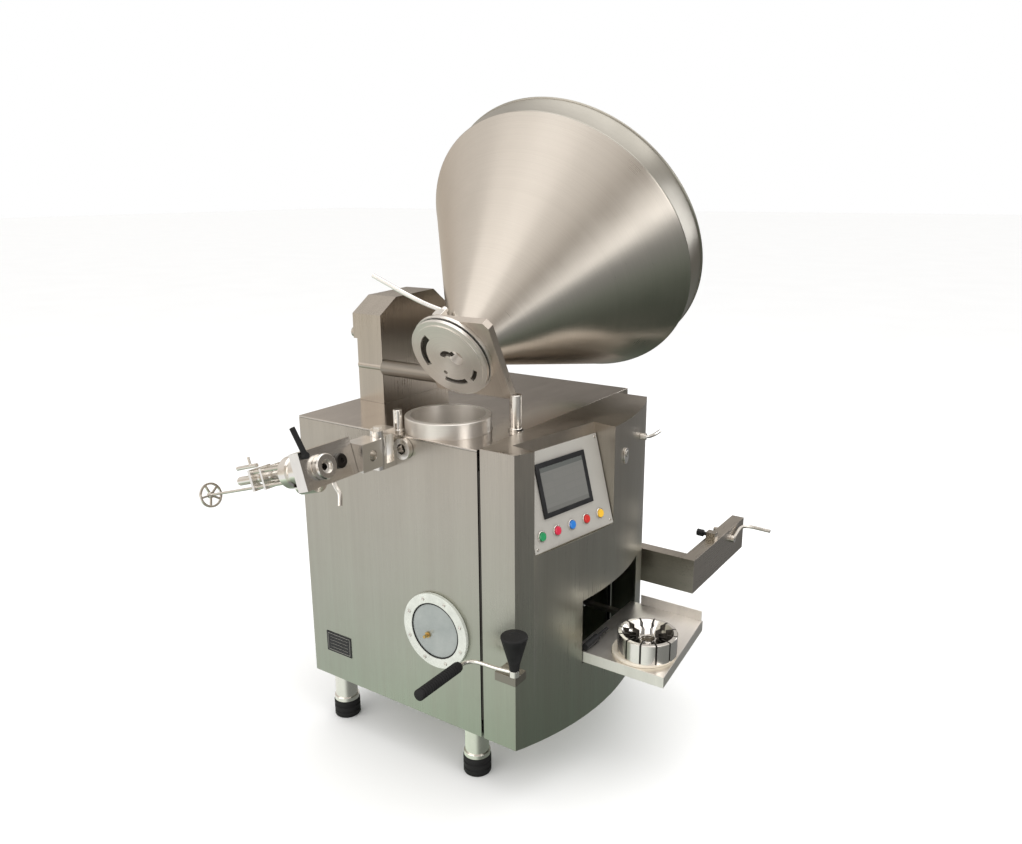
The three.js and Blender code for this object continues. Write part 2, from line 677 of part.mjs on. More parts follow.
// Panel frame: X along the panel, Y up its slope, Z out of its face, origin at its lower near corner.
const panelFrame = new THREE.Matrix4().makeBasis(along, upPanel, facePanel).setPosition(p0);
function recess(grow) {
  return new THREE.BoxGeometry(panelL + 2 * grow, panelH + 200, 200)
    .translate(panelL / 2, (panelH + 200) / 2 - grow, 100 - grow)
    .applyMatrix4(panelFrame);
}
const trayCut = box(doorGap + 60, 400, trayY0 - openingGap, trayY1 + openingGap,
  trayZ - trayRim - openingGap, openingTop);
const doorCavity = solid(prismZ(inner, doorSkin, doorH - doorSkin)).subtract(solid(recess(doorSkin)));
const doorShell = solid(prismZ(outer, 0, doorH))
  .subtract(solid(recess(0)))
  .subtract(doorCavity)
  .subtract(solid(trayCut));
add('control_door', geometryOf(doorShell), brushed());

add('door_hinge', join(
  rod('z', 4.3, 60, bodyH - 60, doorGap / 2, doorGap / 2, 16),
  box(FIT, 2.6, doorGap / 2, 40, 60, bodyH - 60),
), skin('dark_steel', 0x2c2b2a, 0.35, 1));

const panel = new THREE.Group();
panelFrame.decompose(panel.position, panel.quaternion, panel.scale);
machine.add(panel);

const buttonRow = 46;
const buttonX = (i) => panelL / 2 - 9 + (i - 2) * buttonPitch;
const screenX = panelL / 2 - 8;
const screenY = 168;
const plateShort = 34;           // bare strip of the recess above the plate
const bezels = [];
const bezelHoles = [];
for (let i = 0; i < 5; i += 1) {
  bezels.push(rod('z', bezelR, FIT + plateT - 1, FIT + plateT + 4, buttonX(i), buttonRow, 20, bezelR - 1));
  bezelHoles.push(rod('z', buttonR + RUN, -5, 30, buttonX(i), buttonRow, 16));
}
add('control_panel_plate', cut(
  join(box(3, panelL - 3, 3, panelH - plateShort, FIT, FIT + plateT), ...bezels),
  ...bezelHoles,
), skin('panel_grey', 0xb9bbb8, 0.45, 0.3), panel);

const screenZ = FIT + plateT + FIT;
const frame = [
  [screenX - screenW / 2, screenY - screenH / 2], [screenX + screenW / 2, screenY - screenH / 2],
  [screenX + screenW / 2, screenY + screenH / 2], [screenX - screenW / 2, screenY + screenH / 2],
];
add('screen_bezel', cut(
  prismZ(frame, screenZ, screenZ + 7),
  prismZ(inset(frame, 14), screenZ + 3, screenZ + 20),
), plastic(0x141414), panel);
add('touch_screen', prismZ(inset(frame, 14 + FIT), screenZ + 3 + FIT, screenZ + 5.5), plastic(0x5c6163),
  panel);

const buttonColors = [['green', 0x1f7d4c], ['crimson', 0xb5203a], ['blue', 0x1d6ea8], ['red', 0xb0201c],
  ['yellow', 0xc79a1e]];
buttonColors.forEach(([color, hex], i) => {
  add(`button_${color}`, turned([
    [0, FIT + plateT + 0.5], [buttonR, FIT + plateT + 0.5], [buttonR, FIT + plateT + 7],
    [buttonR - 2, FIT + plateT + 8.5], [0, FIT + plateT + 9],
  ], buttonX(i), buttonRow, 16), plastic(hex), panel);
});

// Lock and latch on the door face.
const onFace = (y, z) => {
  const frameMatrix = new THREE.Matrix4();
  const slope = (y - doorL / 2) / Math.sqrt(doorR ** 2 - (y - doorL / 2) ** 2);
  const n = new THREE.Vector3(1, slope, 0).normalize();
  const t = new THREE.Vector3(-n.y, n.x, 0);
  frameMatrix.makeBasis(t, new THREE.Vector3(0, 0, 1), n).setPosition(doorFace(y), y, z);
  const group = new THREE.Group();
  frameMatrix.decompose(group.position, group.quaternion, group.scale);
  machine.add(group);
  return group;
};
const latchY = doorL - 170;
const lockY = (2 * panelY1 + latchY) / 3;   // between the recess and the latch
const lockSpot = onFace(lockY, doorH - 111);
const tearPlate = [];
for (let i = 0; i < 24; i += 1) {
  const a = i / 24 * 2 * Math.PI;
  const r = 17 * (1 + 0.9 * Math.max(0, -Math.sin(a)) ** 3);
  tearPlate.push([r * Math.cos(a), 8 + r * Math.sin(a)]);
}
add('lock_plate', cut(
  prismZ(tearPlate, 0.6, 4.5),
  rod('z', 9 + RUN, -5, 20, 0, 8, 24),
), polished(), lockSpot);
add('lock_barrel', cut(
  rod('z', 9, 0.8, 7, 0, 8, 24),
  box(-1.2, 1.2, 3, 13, 4, 10),
), castSteel(), lockSpot);

const latchSpot = onFace(latchY, doorH - 89);
add('latch_lever', join(
  rod('z', 11, 0.8, 20, 0, 0, 24),
  bentBar([[0, 0, 14], [3, 0, 26], [16, 1, 36], [40, 2, 44], [70, 3, 50]], 5.5, 10, 12),
), polished(), latchSpot);

// ---- knee lever on the door's near end --------------------------------------------------------
add('knee_pivot_block', join(
  box(doorEnd - 34, kneeX + 11, kneeY - 11, -FIT, kneeZ - 36, kneeZ - 10),
  rod('z', 7, kneeZ - 40, kneeZ + 8, kneeX, kneeY, 24),
), polished());
const gripX = 0;
const gripY1 = -70;
add('knee_lever', cut(
  join(
    rod('z', 14, kneeZ - 10 + RUN, kneeZ + 9, kneeX, kneeY, 24),
    bentBar([[kneeX - 8, kneeY - 1, kneeZ], [kneeX - 60, kneeY - 8, kneeZ], [gripX + 24, gripY1 + 14, kneeZ],
      [gripX + 4, gripY1 - 2, kneeZ], [gripX, gripY1 - 30, kneeZ], [gripX, gripY1 - 120, kneeZ]], 6, 10, 18),
  ),
  rod('z', 7 + RUN, kneeZ - 30, kneeZ + 30, kneeX, kneeY, 24),
), polished());
const gripBore = 7.5;
const boreEnd = gripY1 - gripL + 74;
const gripRibs = [[0, gripY1 - gripL], [gripR - 3, gripY1 - gripL], [gripR, gripY1 - gripL + 3]];
for (let i = 0; i < 4; i += 1) {
  const y = gripY1 - gripL + 20 + i * 42;
  gripRibs.push([gripR, y], [gripR - 2, y + 2], [gripR - 2, y + 6], [gripR, y + 8]);
}
gripRibs.push([gripR, gripY1 - 30], [gripR - 2, gripY1 - 27], [gripBore, gripY1 - 27]);
gripRibs.push([gripBore, boreEnd], [0, boreEnd]);
add('knee_grip', turnedY(gripRibs, gripX, kneeZ, 16), rubber());
add('knee_cone', turned([
  [0, kneeZ + 9 + FIT], [14, kneeZ + 9 + FIT], [16, kneeZ + 28], [37, kneeZ + 104], [39, kneeZ + 111],
  [36, kneeZ + 116], [0, kneeZ + 118],
], kneeX, kneeY, 32), rubber());

// ---- storage tray with the pump parts ----------------------------------------------------------
const trayPlan = [
  [trayTail, trayY0], [trayOut, trayY0], [trayOut - trayTaper, trayY1], [trayTail, trayY1],
];
const trayPan = cut(
  prismZ(trayPlan, trayZ - trayRim, trayZ),
  prismZ(inset(trayPlan, sheet), trayZ - trayRim - 10, trayZ - sheet),
);
add('storage_tray', join(
  trayPan,
  box(trayTail + 40, trayOut - trayTaper - 4, trayY1 - 4, trayY1 - 1, trayZ - 1, trayZ + 34),
), brushed());
const railZ1 = trayZ - trayRim - RUN;
const railEnd = doorFace(trayY1 - 10) - doorSkin - 6;
add('tray_rails', join(
  box(-100, railEnd, trayY0 + 10, trayY0 + 32, railZ1 - 14, railZ1),
  box(-100, railEnd, trayY1 - 32, trayY1 - 10, railZ1 - 14, railZ1),
  box(-100, -84, trayY0 + 11, trayY1 - 11, railZ1 - 14, railZ1),
  box(railEnd - 16, railEnd, trayY0 + 11, trayY1 - 11, railZ1 - 14, railZ1 - 1),
), castSteel());

const discX = 356;
const discY = 352;
const discR = 96;
const discT = 11;
add('wear_disc', turned([[30, trayZ + FIT], [discR, trayZ + FIT], [discR, trayZ + discT - 2],
  [discR - 2, trayZ + discT], [30, trayZ + discT]], discX, discY, 40), plastic(0xd8cfbf));
const rotorX = 368;
const rotorY = 350;
const rotorR = 90;
const rotorH = 62;
const bowlDepth = 30;
const rotorZ = trayZ + discT + FIT;
const vaneSlots = [];
for (let i = 0; i < 12; i += 1) {
  vaneSlots.push(new THREE.BoxGeometry(50, 6, rotorH + 20)
    .translate(rotorR - 10, 0, rotorZ + rotorH / 2)
    .rotateZ((i + 0.4) / 12 * 2 * Math.PI)
    .translate(rotorX, rotorY, 0));
}
add('pump_rotor', cut(
  turned([
    [20, rotorZ], [rotorR, rotorZ], [rotorR, rotorZ + rotorH - 2], [rotorR - 2, rotorZ + rotorH],
    [rotorR - 12, rotorZ + rotorH], [36, rotorZ + rotorH - bowlDepth], [20, rotorZ + rotorH - bowlDepth],
  ], rotorX, rotorY, 36),
  ...vaneSlots,
), polished());
add('rotor_key', join(
  rod('y', 11, trayY0 + 8, trayY0 + 84, trayTail + 34, trayZ + 11 + FIT, 20),
  rod('y', 5, trayY0 + 80, trayY0 + 150, trayTail + 34, trayZ + 11 + FIT, 12),
), rubber());

// ---- bin lifting arm ---------------------------------------------------------------------------
add('arm_bearing', cut(
  join(
    rod('x', 25, FIT, 10, armY, armZ, 32),
    box(-56, -sheet - FIT, armY - 40, bodyD - sheet - 2, armZ - 40, armZ + 40),
    rod('x', armHub, -sheet - 1, 5, armY, armZ, 32),
  ),
  rod('x', armShaft + RUN, -80, 30, armY, armZ, 32),
), castSteel());
const armLow = armZ - armTall / 2;
const armHigh = armZ + armTall / 2;
const tubeWall = 4;
const knobY = armY + 204;
const plungerZ = armHigh + 13;
const armStart = 14;
const armInner = armReach - armThick;
add('lift_arm', cut(
  join(
    rod('x', armShaft, -62, armStart + 10, armY, armZ, 32),
    box(armStart, armReach, armY - armThick / 2, armY + armThick / 2, armLow, armHigh),
    box(armInner, armReach, armY - armThick / 2, armBack, armLow, armHigh),
    rod('x', 9, armInner - 20, armInner + 2, knobY + 130, armHigh - 16, 16),
    box(armInner + 3, armReach - 9, knobY - 15, knobY + 15, armHigh - 1, armHigh + 26),
  ),
  join(
    box(armStart + 20, armReach - tubeWall, armY - armThick / 2 + tubeWall, armY + armThick / 2 - tubeWall,
      armLow + tubeWall, armHigh - tubeWall),
    box(armInner + tubeWall, armReach - tubeWall, armY - armThick / 2 + tubeWall, armBack - tubeWall,
      armLow + tubeWall, armHigh - tubeWall),
  ),
  rod('z', 5, armLow - 10, armLow + 10, armReach - armThick / 2, armY + 60, 12),
  rod('x', 7 + RUN, armInner - 10, armReach - 16, knobY, plungerZ, 20),
), brushed());
add('arm_plunger', join(
  rod('x', 7, armInner - 16, armReach - 30, knobY, plungerZ, 20),
  rod('x', 13, armInner - 36, armInner - 12, knobY, plungerZ, 24),
), rubber());
const handleY = armY + 344;
add('arm_handle', join(
  rod('x', 13, armReach + RUN, armReach + 14, handleY, armHigh - 44, 24),
  bentBar([[armReach + 9, handleY, armHigh - 44], [armReach + 10, handleY + 36, armHigh - 30],
    [armReach + 14, handleY + 72, armHigh - 18], [armReach + 34, handleY + 86, armHigh - 16],
    [armReach + 120, handleY + 90, armHigh - 18]], 7, 10, 14),
), polished());

// ---- stand the machine on the floor, centred over its own footprint ------------------------------
machine.updateMatrixWorld(true);
const extent = new THREE.Box3().setFromObject(machine, true);
machine.position.set(-(extent.min.x + extent.max.x) / 2, -(extent.min.y + extent.max.y) / 2, -extent.min.z);

export default machine;
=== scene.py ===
import json
import math

import bmesh
import bpy
from mathutils import Matrix, Quaternion, Vector

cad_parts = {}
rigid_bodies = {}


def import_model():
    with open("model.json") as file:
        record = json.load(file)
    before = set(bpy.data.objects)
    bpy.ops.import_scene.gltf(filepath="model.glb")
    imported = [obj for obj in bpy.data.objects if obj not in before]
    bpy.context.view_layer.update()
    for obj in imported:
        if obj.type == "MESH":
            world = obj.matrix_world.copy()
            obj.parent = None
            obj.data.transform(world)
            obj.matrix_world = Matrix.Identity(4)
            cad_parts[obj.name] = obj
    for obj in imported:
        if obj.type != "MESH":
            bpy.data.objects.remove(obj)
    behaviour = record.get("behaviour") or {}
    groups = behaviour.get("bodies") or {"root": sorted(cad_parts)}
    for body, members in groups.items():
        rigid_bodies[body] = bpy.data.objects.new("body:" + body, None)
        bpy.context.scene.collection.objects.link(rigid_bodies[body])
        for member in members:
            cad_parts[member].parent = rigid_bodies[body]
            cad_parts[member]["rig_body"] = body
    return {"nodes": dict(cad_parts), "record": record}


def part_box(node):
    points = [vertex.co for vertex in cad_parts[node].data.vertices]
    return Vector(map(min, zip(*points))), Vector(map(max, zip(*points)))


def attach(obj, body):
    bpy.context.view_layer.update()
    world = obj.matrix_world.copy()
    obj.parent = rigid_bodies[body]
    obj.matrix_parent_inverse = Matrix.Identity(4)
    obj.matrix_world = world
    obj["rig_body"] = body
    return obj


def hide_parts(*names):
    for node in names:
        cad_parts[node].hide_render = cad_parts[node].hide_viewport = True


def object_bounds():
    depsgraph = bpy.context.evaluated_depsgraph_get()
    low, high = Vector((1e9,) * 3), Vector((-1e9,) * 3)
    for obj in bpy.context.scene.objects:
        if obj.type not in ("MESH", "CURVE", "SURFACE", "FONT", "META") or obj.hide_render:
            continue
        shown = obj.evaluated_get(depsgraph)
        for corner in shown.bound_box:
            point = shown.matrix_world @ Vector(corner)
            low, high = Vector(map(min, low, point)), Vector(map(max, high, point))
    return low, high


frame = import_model()
cad_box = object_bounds()

MM = 0.001
DEG = math.radians(1)

# ---- places: the cabinet's corner is read from the frame, and sizes in mm are taken from it ------
CABINET_H, CABINET_D = 900, 908
deck_lo, deck_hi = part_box("top_deck")
ORIGIN = Vector((deck_hi.x, deck_lo.y, deck_hi.z - CABINET_H * MM))


def mm(x, y, z):
    return Vector((x, y, z)) * MM


def shifted(x, y, z):
    return Matrix.Translation(mm(x, y, z))


MACHINE = Matrix.Translation(ORIGIN)

# The hopper as it stands closed on the pump, then laid back about its hinge.
HOPPER_TILT = 62.8
PLATE_TOP = CABINET_H + 101
HINGE_Y, HINGE_Z = 271, PLATE_TOP + 21
HOPPER_X, HOPPER_Y = -163, 123
DISC_FACE = 946.2
HOPPER = (MACHINE @ shifted(0, HINGE_Y, HINGE_Z) @ Matrix.Rotation(-HOPPER_TILT * DEG, 4, "X")
          @ shifted(0, -HINGE_Y, -HINGE_Z))

# The twisting head, level at the outlet's height and then drooping about its roll axis.
PORT_X, PORT_Z = -259, CABINET_H - 36
ROLL_X = -335
HORN_Y = -272
HEAD_DROOP = 17
HEAD = (MACHINE @ shifted(ROLL_X, 0, PORT_Z) @ Matrix.Rotation(-HEAD_DROOP * DEG, 4, "Y")
        @ shifted(-ROLL_X, 0, -PORT_Z))

# Axes of round parts on the head, the deck, the front, the knee lever and the tray.
COUPLING_Y = -208
PUMP_X, PUMP_Y = -203, 135
GLASS_X, GLASS_Z, GLASS_R, WINDOW_R = -160, 309, 120, 89
KNEE_X, KNEE_Y, KNEE_Z = 150, -43, 288
ROTOR_X, ROTOR_Y, ROTOR_Z = 368, 350, 241.3
STUDS = {                                               # x, y, radius, height above the deck
    "lock_stud_left": (-310, 30, 13, 66), "lock_stud_right": (-24, 228, 18, 108),
}

# The door's outer face is an arc: its ends stand DOOR_END out and its middle DOOR_BOW further.
DOOR_L, DOOR_H, DOOR_GAP = CABINET_D - 102, CABINET_H + 5, 10
DOOR_END, DOOR_BOW = 124, 90
DOOR_R = ((DOOR_L / 2) ** 2 + DOOR_BOW ** 2) / (2 * DOOR_BOW)


def door_face(y):
    return DOOR_END + DOOR_BOW - DOOR_R + math.sqrt(DOOR_R ** 2 - (y - DOOR_L / 2) ** 2)


# The panel lies in a recess of the door and leans back; its own Z is its outward direction.
PANEL_Y0, PANEL_Y1, PANEL_Z, PANEL_DEPTH = 60, 405, DOOR_H - 305, 85
corner = Vector((door_face(PANEL_Y0), PANEL_Y0, PANEL_Z))
far_corner = Vector((door_face(PANEL_Y1), PANEL_Y1, PANEL_Z))
PANEL_L = (far_corner - corner).length
along = (far_corner - corner).normalized()
outward = Vector((along.y, -along.x, 0))
lean = math.atan2(PANEL_DEPTH, DOOR_H - PANEL_Z)
upward = Vector((0, 0, math.cos(lean))) - outward * math.sin(lean)
facing = along.cross(upward).normalized()
PANEL_TURN = Matrix((along, upward, facing)).transposed().to_4x4()
PANEL = MACHINE @ Matrix.Translation(corner * MM) @ PANEL_TURN
PANEL_H = (DOOR_H - PANEL_Z) / math.cos(lean)
BUTTON_PITCH, BUTTON_ROW = 64, 46


# ---- finishes -----------------------------------------------------------------------------------
def rgba(sockets):
    return [s for s in sockets if s.type == "RGBA"]


def shade(colour, by):
    return tuple(min(1, c * by) for c in colour)


class Finish:
    """A material with its Principled shader and short ways to wire procedural detail into it."""

    def __init__(self, name, metallic, rough, colour):
        self.material = bpy.data.materials.new(name)
        self.material.use_nodes = True
        self.tree = self.material.node_tree
        self.shader = self.tree.nodes["Principled BSDF"]
        self.put("Metallic", metallic)
        self.put("Roughness", rough)
        self.put("Base Color", (*colour, 1))
        self.place = self.node("ShaderNodeTexCoord").outputs["Object"]

    def node(self, kind, **settings):
        made = self.tree.nodes.new(kind)
        for key, value in settings.items():
            setattr(made, key, value)
        return made

    def put(self, socket, value):
        self.shader.inputs[socket].default_value = value

    def wire(self, output, socket):
        self.tree.links.new(output, socket)

    def feed(self, output, name):
        self.wire(output, self.shader.inputs[name])

    def stretched(self, scale, vector=None):
        mapping = self.node("ShaderNodeMapping")
        mapping.inputs["Scale"].default_value = scale
        self.wire(vector or self.place, mapping.inputs["Vector"])
        return mapping.outputs["Vector"]

    def coordinates(self):
        """The piece's own X, Y and Z, each as a number."""
        split = self.node("ShaderNodeSeparateXYZ")
        self.wire(self.place, split.inputs[0])
        return split.outputs

    def turned(self):
        """Radius and height about the piece's own Z axis, in place of its coordinates."""
        own = self.coordinates()
        flat = self.node("ShaderNodeCombineXYZ")
        self.wire(own["X"], flat.inputs["X"])
        self.wire(own["Y"], flat.inputs["Y"])
        radius = self.node("ShaderNodeVectorMath", operation="LENGTH")
        self.wire(flat.outputs[0], radius.inputs[0])
        pair = self.node("ShaderNodeCombineXYZ")
        self.wire(radius.outputs["Value"], pair.inputs["X"])
        self.wire(own["Z"], pair.inputs["Z"])
        return pair.outputs[0]

    def noise(self, vector, scale, detail=4.0, rough=0.6):
        made = self.node("ShaderNodeTexNoise")
        made.inputs["Scale"].default_value = scale
        made.inputs["Detail"].default_value = detail
        made.inputs["Roughness"].default_value = rough
        self.wire(vector, made.inputs["Vector"])
        return made.outputs["Fac"]

    def span(self, value, lo, hi, start=0.25, end=0.75):
        made = self.node("ShaderNodeMapRange")
        for socket, number in (("From Min", start), ("From Max", end), ("To Min", lo), ("To Max", hi)):
            made.inputs[socket].default_value = number
        self.wire(value, made.inputs["Value"])
        return made.outputs["Result"]

    def calculate(self, a, b, operation="ADD"):
        made = self.node("ShaderNodeMath", operation=operation)
        self.wire(a, made.inputs[0])
        if isinstance(b, (int, float)):
            made.inputs[1].default_value = b
        else:
            self.wire(b, made.inputs[1])
        return made.outputs[0]

    def mix(self, factor, a, b):
        made = self.node("ShaderNodeMix", data_type="RGBA")
        self.wire(factor, made.inputs["Factor"])
        for target, value in zip(rgba(made.inputs), (a, b)):
            if isinstance(value, tuple):
                target.default_value = (*value, 1)
            else:
                self.wire(value, target)
        return rgba(made.outputs)[0]

    def toned(self, value, colour, dark, pale):
        """The colour between two shades of it."""
        return self.mix(self.span(value, 0, 1), shade(colour, dark), shade(colour, pale))

    def roughened(self, rough, *layers):
        """Roughness as a level with layers of small changes."""
        total = layers[0]
        for layer in (*layers[1:], rough):
            total = self.calculate(total, layer)
        self.feed(total, "Roughness")

    def streaked(self, amount, rotation=0.0):
        """Gloss that is stretched along or across the brush lines around Z."""
        self.put("Anisotropic", amount)
        self.put("Anisotropic Rotation", rotation)
        tangent = self.node("ShaderNodeTangent", direction_type="RADIAL", axis="Z")
        self.feed(tangent.outputs[0], "Tangent")

    def coated(self, weight, rough):
        self.put("Coat Weight", weight)
        self.put("Coat Roughness", rough)

    def bump(self, height, strength, distance=0.0004):
        made = self.node("ShaderNodeBump")
        made.inputs["Strength"].default_value = strength
        made.inputs["Distance"].default_value = distance
        self.wire(height, made.inputs["Height"])
        self.feed(made.outputs["Normal"], "Normal")


PAINTED_REFLECTION_SPAN = (0.2, 1.1)        # metres above the floor, over which the painted greenish room reflection fades into the steel's own colour


def brushed(name, colour, rough, grain, contrast=0.10, low=None, aniso=0.55):
    """Sheet steel with straight brush lines; grain is how fast the lines change along X, Y and Z, and low
    is a painted reflection: the greenish room colour painted into the steel near the floor."""
    f = Finish(name, 1, rough, colour)
    lines = f.noise(f.stretched(grain), 1, 6, 0.7)
    # painted reflection: soft broad darker bands stand in for the room's mirrored streaks on the steel
    reflection_bands = f.noise(f.stretched(tuple(g * 0.06 for g in grain)), 1, 3, 0.6)
    cloud = f.noise(f.place, 3.2, 4, 0.6)
    marks = f.noise(f.place, 38, 3, 0.5)
    tone = f.toned(lines, colour, 1 - contrast, 1 + contrast)
    # painted reflection: the low colour stands in for the greenish room mirrored in the lower steel
    if low:
        ramp = f.span(f.coordinates()["Z"], 1, 0, *PAINTED_REFLECTION_SPAN)
        tone = f.mix(ramp, tone, f.toned(lines, low, 1 - contrast, 1 + contrast))
    f.feed(f.mix(f.span(reflection_bands, 0, 0.35), tone, shade(colour, 0.72)), "Base Color")
    spots = f.span(marks, 0, 0.05, 0.55, 0.8)
    f.roughened(rough, f.span(lines, -0.05, 0.06), f.span(cloud, -0.05, 0.07), spots)
    f.streaked(aniso)
    f.bump(lines, 0.1)
    return f.material


def lathed(name, colour, rough, pitch=2600, strength=0.08, contrast=0.07, aniso=0.5):
    """Turned or rolled metal with rings about the piece's own Z axis."""
    f = Finish(name, 1, rough, colour)
    rings = f.noise(f.stretched((pitch, 1, pitch), f.turned()), 1, 4, 0.6)
    cloud = f.noise(f.place, 9, 4, 0.6)
    tone = f.toned(rings, colour, 1 - contrast, 1 + contrast)
    f.feed(f.mix(f.span(cloud, 0, 0.3), tone, shade(colour, 0.8)), "Base Color")
    f.roughened(rough, f.span(rings, -0.03, 0.04), f.span(cloud, -0.03, 0.06))
    f.streaked(aniso, rotation=0.25)
    f.bump(rings, strength, 0.0002)
    return f.material


def polished(name, colour, rough):
    """Bright steel with fine random scratches and the haze of wiping."""
    f = Finish(name, 1, rough, colour)
    fine = f.noise(f.stretched((90, 1400, 400)), 1, 5, 0.7)
    wipe = f.noise(f.stretched((14, 5, 9)), 1, 5, 0.65)
    f.feed(f.toned(wipe, colour, 0.88, 1.06), "Base Color")
    f.roughened(rough, f.span(fine, -0.02, 0.03), f.span(wipe, -0.03, 0.06))
    f.bump(fine, 0.05, 0.0002)
    return f.material


def moulded(name, colour, rough, grain=900, strength=0.12, coat=0.0):
    """Rubber or plastic with a fine moulded grain and scattered patches of paler dust."""
    f = Finish(name, 0, rough, colour)
    grit = f.noise(f.place, grain, 3, 0.6)
    dust = f.noise(f.place, 26, 4, 0.6)
    paler = tuple(min(1, c * 1.25 + 0.006) for c in colour)
    f.put("Specular IOR Level", 0.3)
    f.feed(f.mix(f.span(dust, 0, 1), colour, paler), "Base Color")
    f.roughened(rough, f.span(grit, -0.05, 0.05), f.span(dust, -0.05, 0.08))
    f.coated(coat, 0.12)
    f.bump(grit, strength, 0.0003)
    return f.material


def enamel(name, colour, rough):
    """Sprayed paint with orange peel and slight fading."""
    f = Finish(name, 0, rough, colour)
    peel = f.noise(f.place, 320, 2, 0.5)
    fade = f.noise(f.place, 7, 4, 0.6)
    f.feed(f.toned(fade, colour, 0.93, 1.04), "Base Color")
    f.roughened(rough, f.span(fade, -0.04, 0.06))
    f.coated(0.15, 0.2)
    f.bump(peel, 0.12, 0.0003)
    return f.material


def display():
    """A dim grey screen: a dark header bar, a paler field with faint cells and a plain darker footer bar."""
    header_from, footer_to = 0.051, -0.052
    cell_w, cell_h, cell_line = 0.044, 0.0205, 0.0006
    f = Finish("screen_picture", 0, 0.18, (0.2, 0.2, 0.19))
    cells = f.node("ShaderNodeTexBrick", offset=0.0)
    for socket, value in (("Color1", (0.145, 0.143, 0.134, 1)), ("Color2", (0.138, 0.138, 0.129, 1)),
                          ("Mortar", (0.132, 0.132, 0.124, 1)), ("Scale", 1), ("Mortar Size", cell_line),
                          ("Brick Width", cell_w), ("Row Height", cell_h)):
        cells.inputs[socket].default_value = value
    f.wire(f.place, cells.inputs["Vector"])
    up = f.coordinates()["Y"]
    header = f.calculate(up, header_from, "GREATER_THAN")
    footer = f.calculate(up, footer_to, "LESS_THAN")
    body = f.mix(header, cells.outputs["Color"], (0.09, 0.095, 0.09))
    f.feed(f.mix(footer, body, (0.12, 0.12, 0.112)), "Base Color")
    haze = f.noise(f.place, 60, 3, 0.6)
    f.feed(f.span(haze, 0.16, 0.24), "Roughness")
    f.coated(0.6, 0.08)
    return f.material


def pane():
    """The sight glass: thick, slightly milky and greenish at its depth."""
    f = Finish("sight_pane", 0, 0.08, (0.26, 0.29, 0.27))
    haze = f.noise(f.place, 12, 4, 0.6)
    f.feed(f.mix(f.span(haze, 0, 1), (0.22, 0.25, 0.235), (0.31, 0.335, 0.315)), "Base Color")
    f.feed(f.span(haze, 0.06, 0.16), "Roughness")
    f.coated(1.0, 0.03)
    return f.material


WARM = (0.52, 0.475, 0.42)
# painted reflection colour: the greenish room as mirrored low on the cabinet steel
PAINTED_REFLECTION_GREEN = (0.42, 0.46, 0.39)
BRIGHT = (0.88, 0.85, 0.81)
SHEET = brushed("brushed_sheet", WARM, 0.30, (520, 520, 7), low=PAINTED_REFLECTION_GREEN)
# painted shade: the warm steel darkened to 0.6 for the hinge in the column's shadow; its dull brushing is
# real
SHADED_HINGE = brushed("hinge_steel_painted_shade", shade(WARM, 0.6), 0.36, (7, 520, 520), aniso=0.2)
COLUMN = brushed("brushed_column", WARM, 0.27, (520, 520, 7))
ARM = brushed("brushed_arm", WARM, 0.3, (60, 7, 520))
TRAY = brushed("brushed_tray", shade(BRIGHT, 1.08), 0.36, (520, 7, 60), contrast=0.05)
CONE = lathed("hopper_steel", (0.70, 0.655, 0.60), 0.30, 420, 0.05, 0.05, 0.6)
DECK = polished("deck_steel", (0.6, 0.55, 0.5), 0.14)
SHINE = polished("polished_steel", BRIGHT, 0.19)
RINGS = lathed("turned_steel", BRIGHT, 0.18)
SATIN = lathed("satin_turned_steel", shade(BRIGHT, 0.95), 0.38, 900, 0.1)
BAND = lathed("rolled_band_steel", (0.44, 0.42, 0.375), 0.34, 420, 0.05, 0.06, 0.5)
PLATE = brushed("brushed_plate", (0.62, 0.56, 0.50), 0.3, (520, 7, 520), aniso=0.3)
MACHINED = lathed("machined_steel", (0.55, 0.53, 0.5), 0.3, 1500, 0.12)
DARK = polished("dark_steel", (0.06, 0.055, 0.05), 0.28)
RUBBER = moulded("black_rubber", (0.006, 0.006, 0.0065), 0.6)
PLASTIC = moulded("black_plastic", (0.012, 0.012, 0.013), 0.38, 1400, 0.06)
CREAM = moulded("cream_polymer", (0.66, 0.6, 0.5), 0.45, 500, 0.05)
RIM = moulded("rim_polymer", (0.5, 0.52, 0.47), 0.22, 300, 0.03, 0.6)
GREY = enamel("panel_enamel", (0.33, 0.315, 0.285), 0.4)
PAINT = enamel("gearbox_enamel", (0.16, 0.18, 0.2), 0.45)
BRASS = polished("brass", (0.62, 0.42, 0.16), 0.22)
SCREEN = display()
PANE = pane()
BUTTONS = {
    "green": (0.01, 0.2, 0.07), "crimson": (0.45, 0.012, 0.04), "blue": (0.01, 0.13, 0.42),
    "red": (0.42, 0.015, 0.01), "yellow": (0.62, 0.36, 0.02),
}
BY_SLOT = {
    "brushed": SHEET, "polished": SHINE, "machined": MACHINED, "black_rubber": RUBBER, "dark_steel": DARK,
    "gearbox_paint": PAINT, "panel_grey": GREY, "black_plastic": PLASTIC, "screen": SCREEN, "clear_rim": RIM,
    "sight_glass": PANE, "brass": BRASS, "cream": CREAM,
}
for colour_name, rgb in BUTTONS.items():
    BY_SLOT[colour_name] = moulded("cap_" + colour_name, rgb, 0.3, 1200, 0.04, 0.7)


# ---- mesh helpers -------------------------------------------------------------------------------
SMOOTH_ANGLE, BEVEL_ANGLE = 32, 30
SLOT_OF = {s["node"]: s["material_slot"] for s in frame["record"]["subparts"]}
done = set()        # nodes that already have a stand-in


def body_of(node):
    return frame["nodes"][node]["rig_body"]


def mesh_from(bm, name):
    mesh = bpy.data.meshes.new(name)
    bm.to_mesh(mesh)
    bm.free()
    return mesh


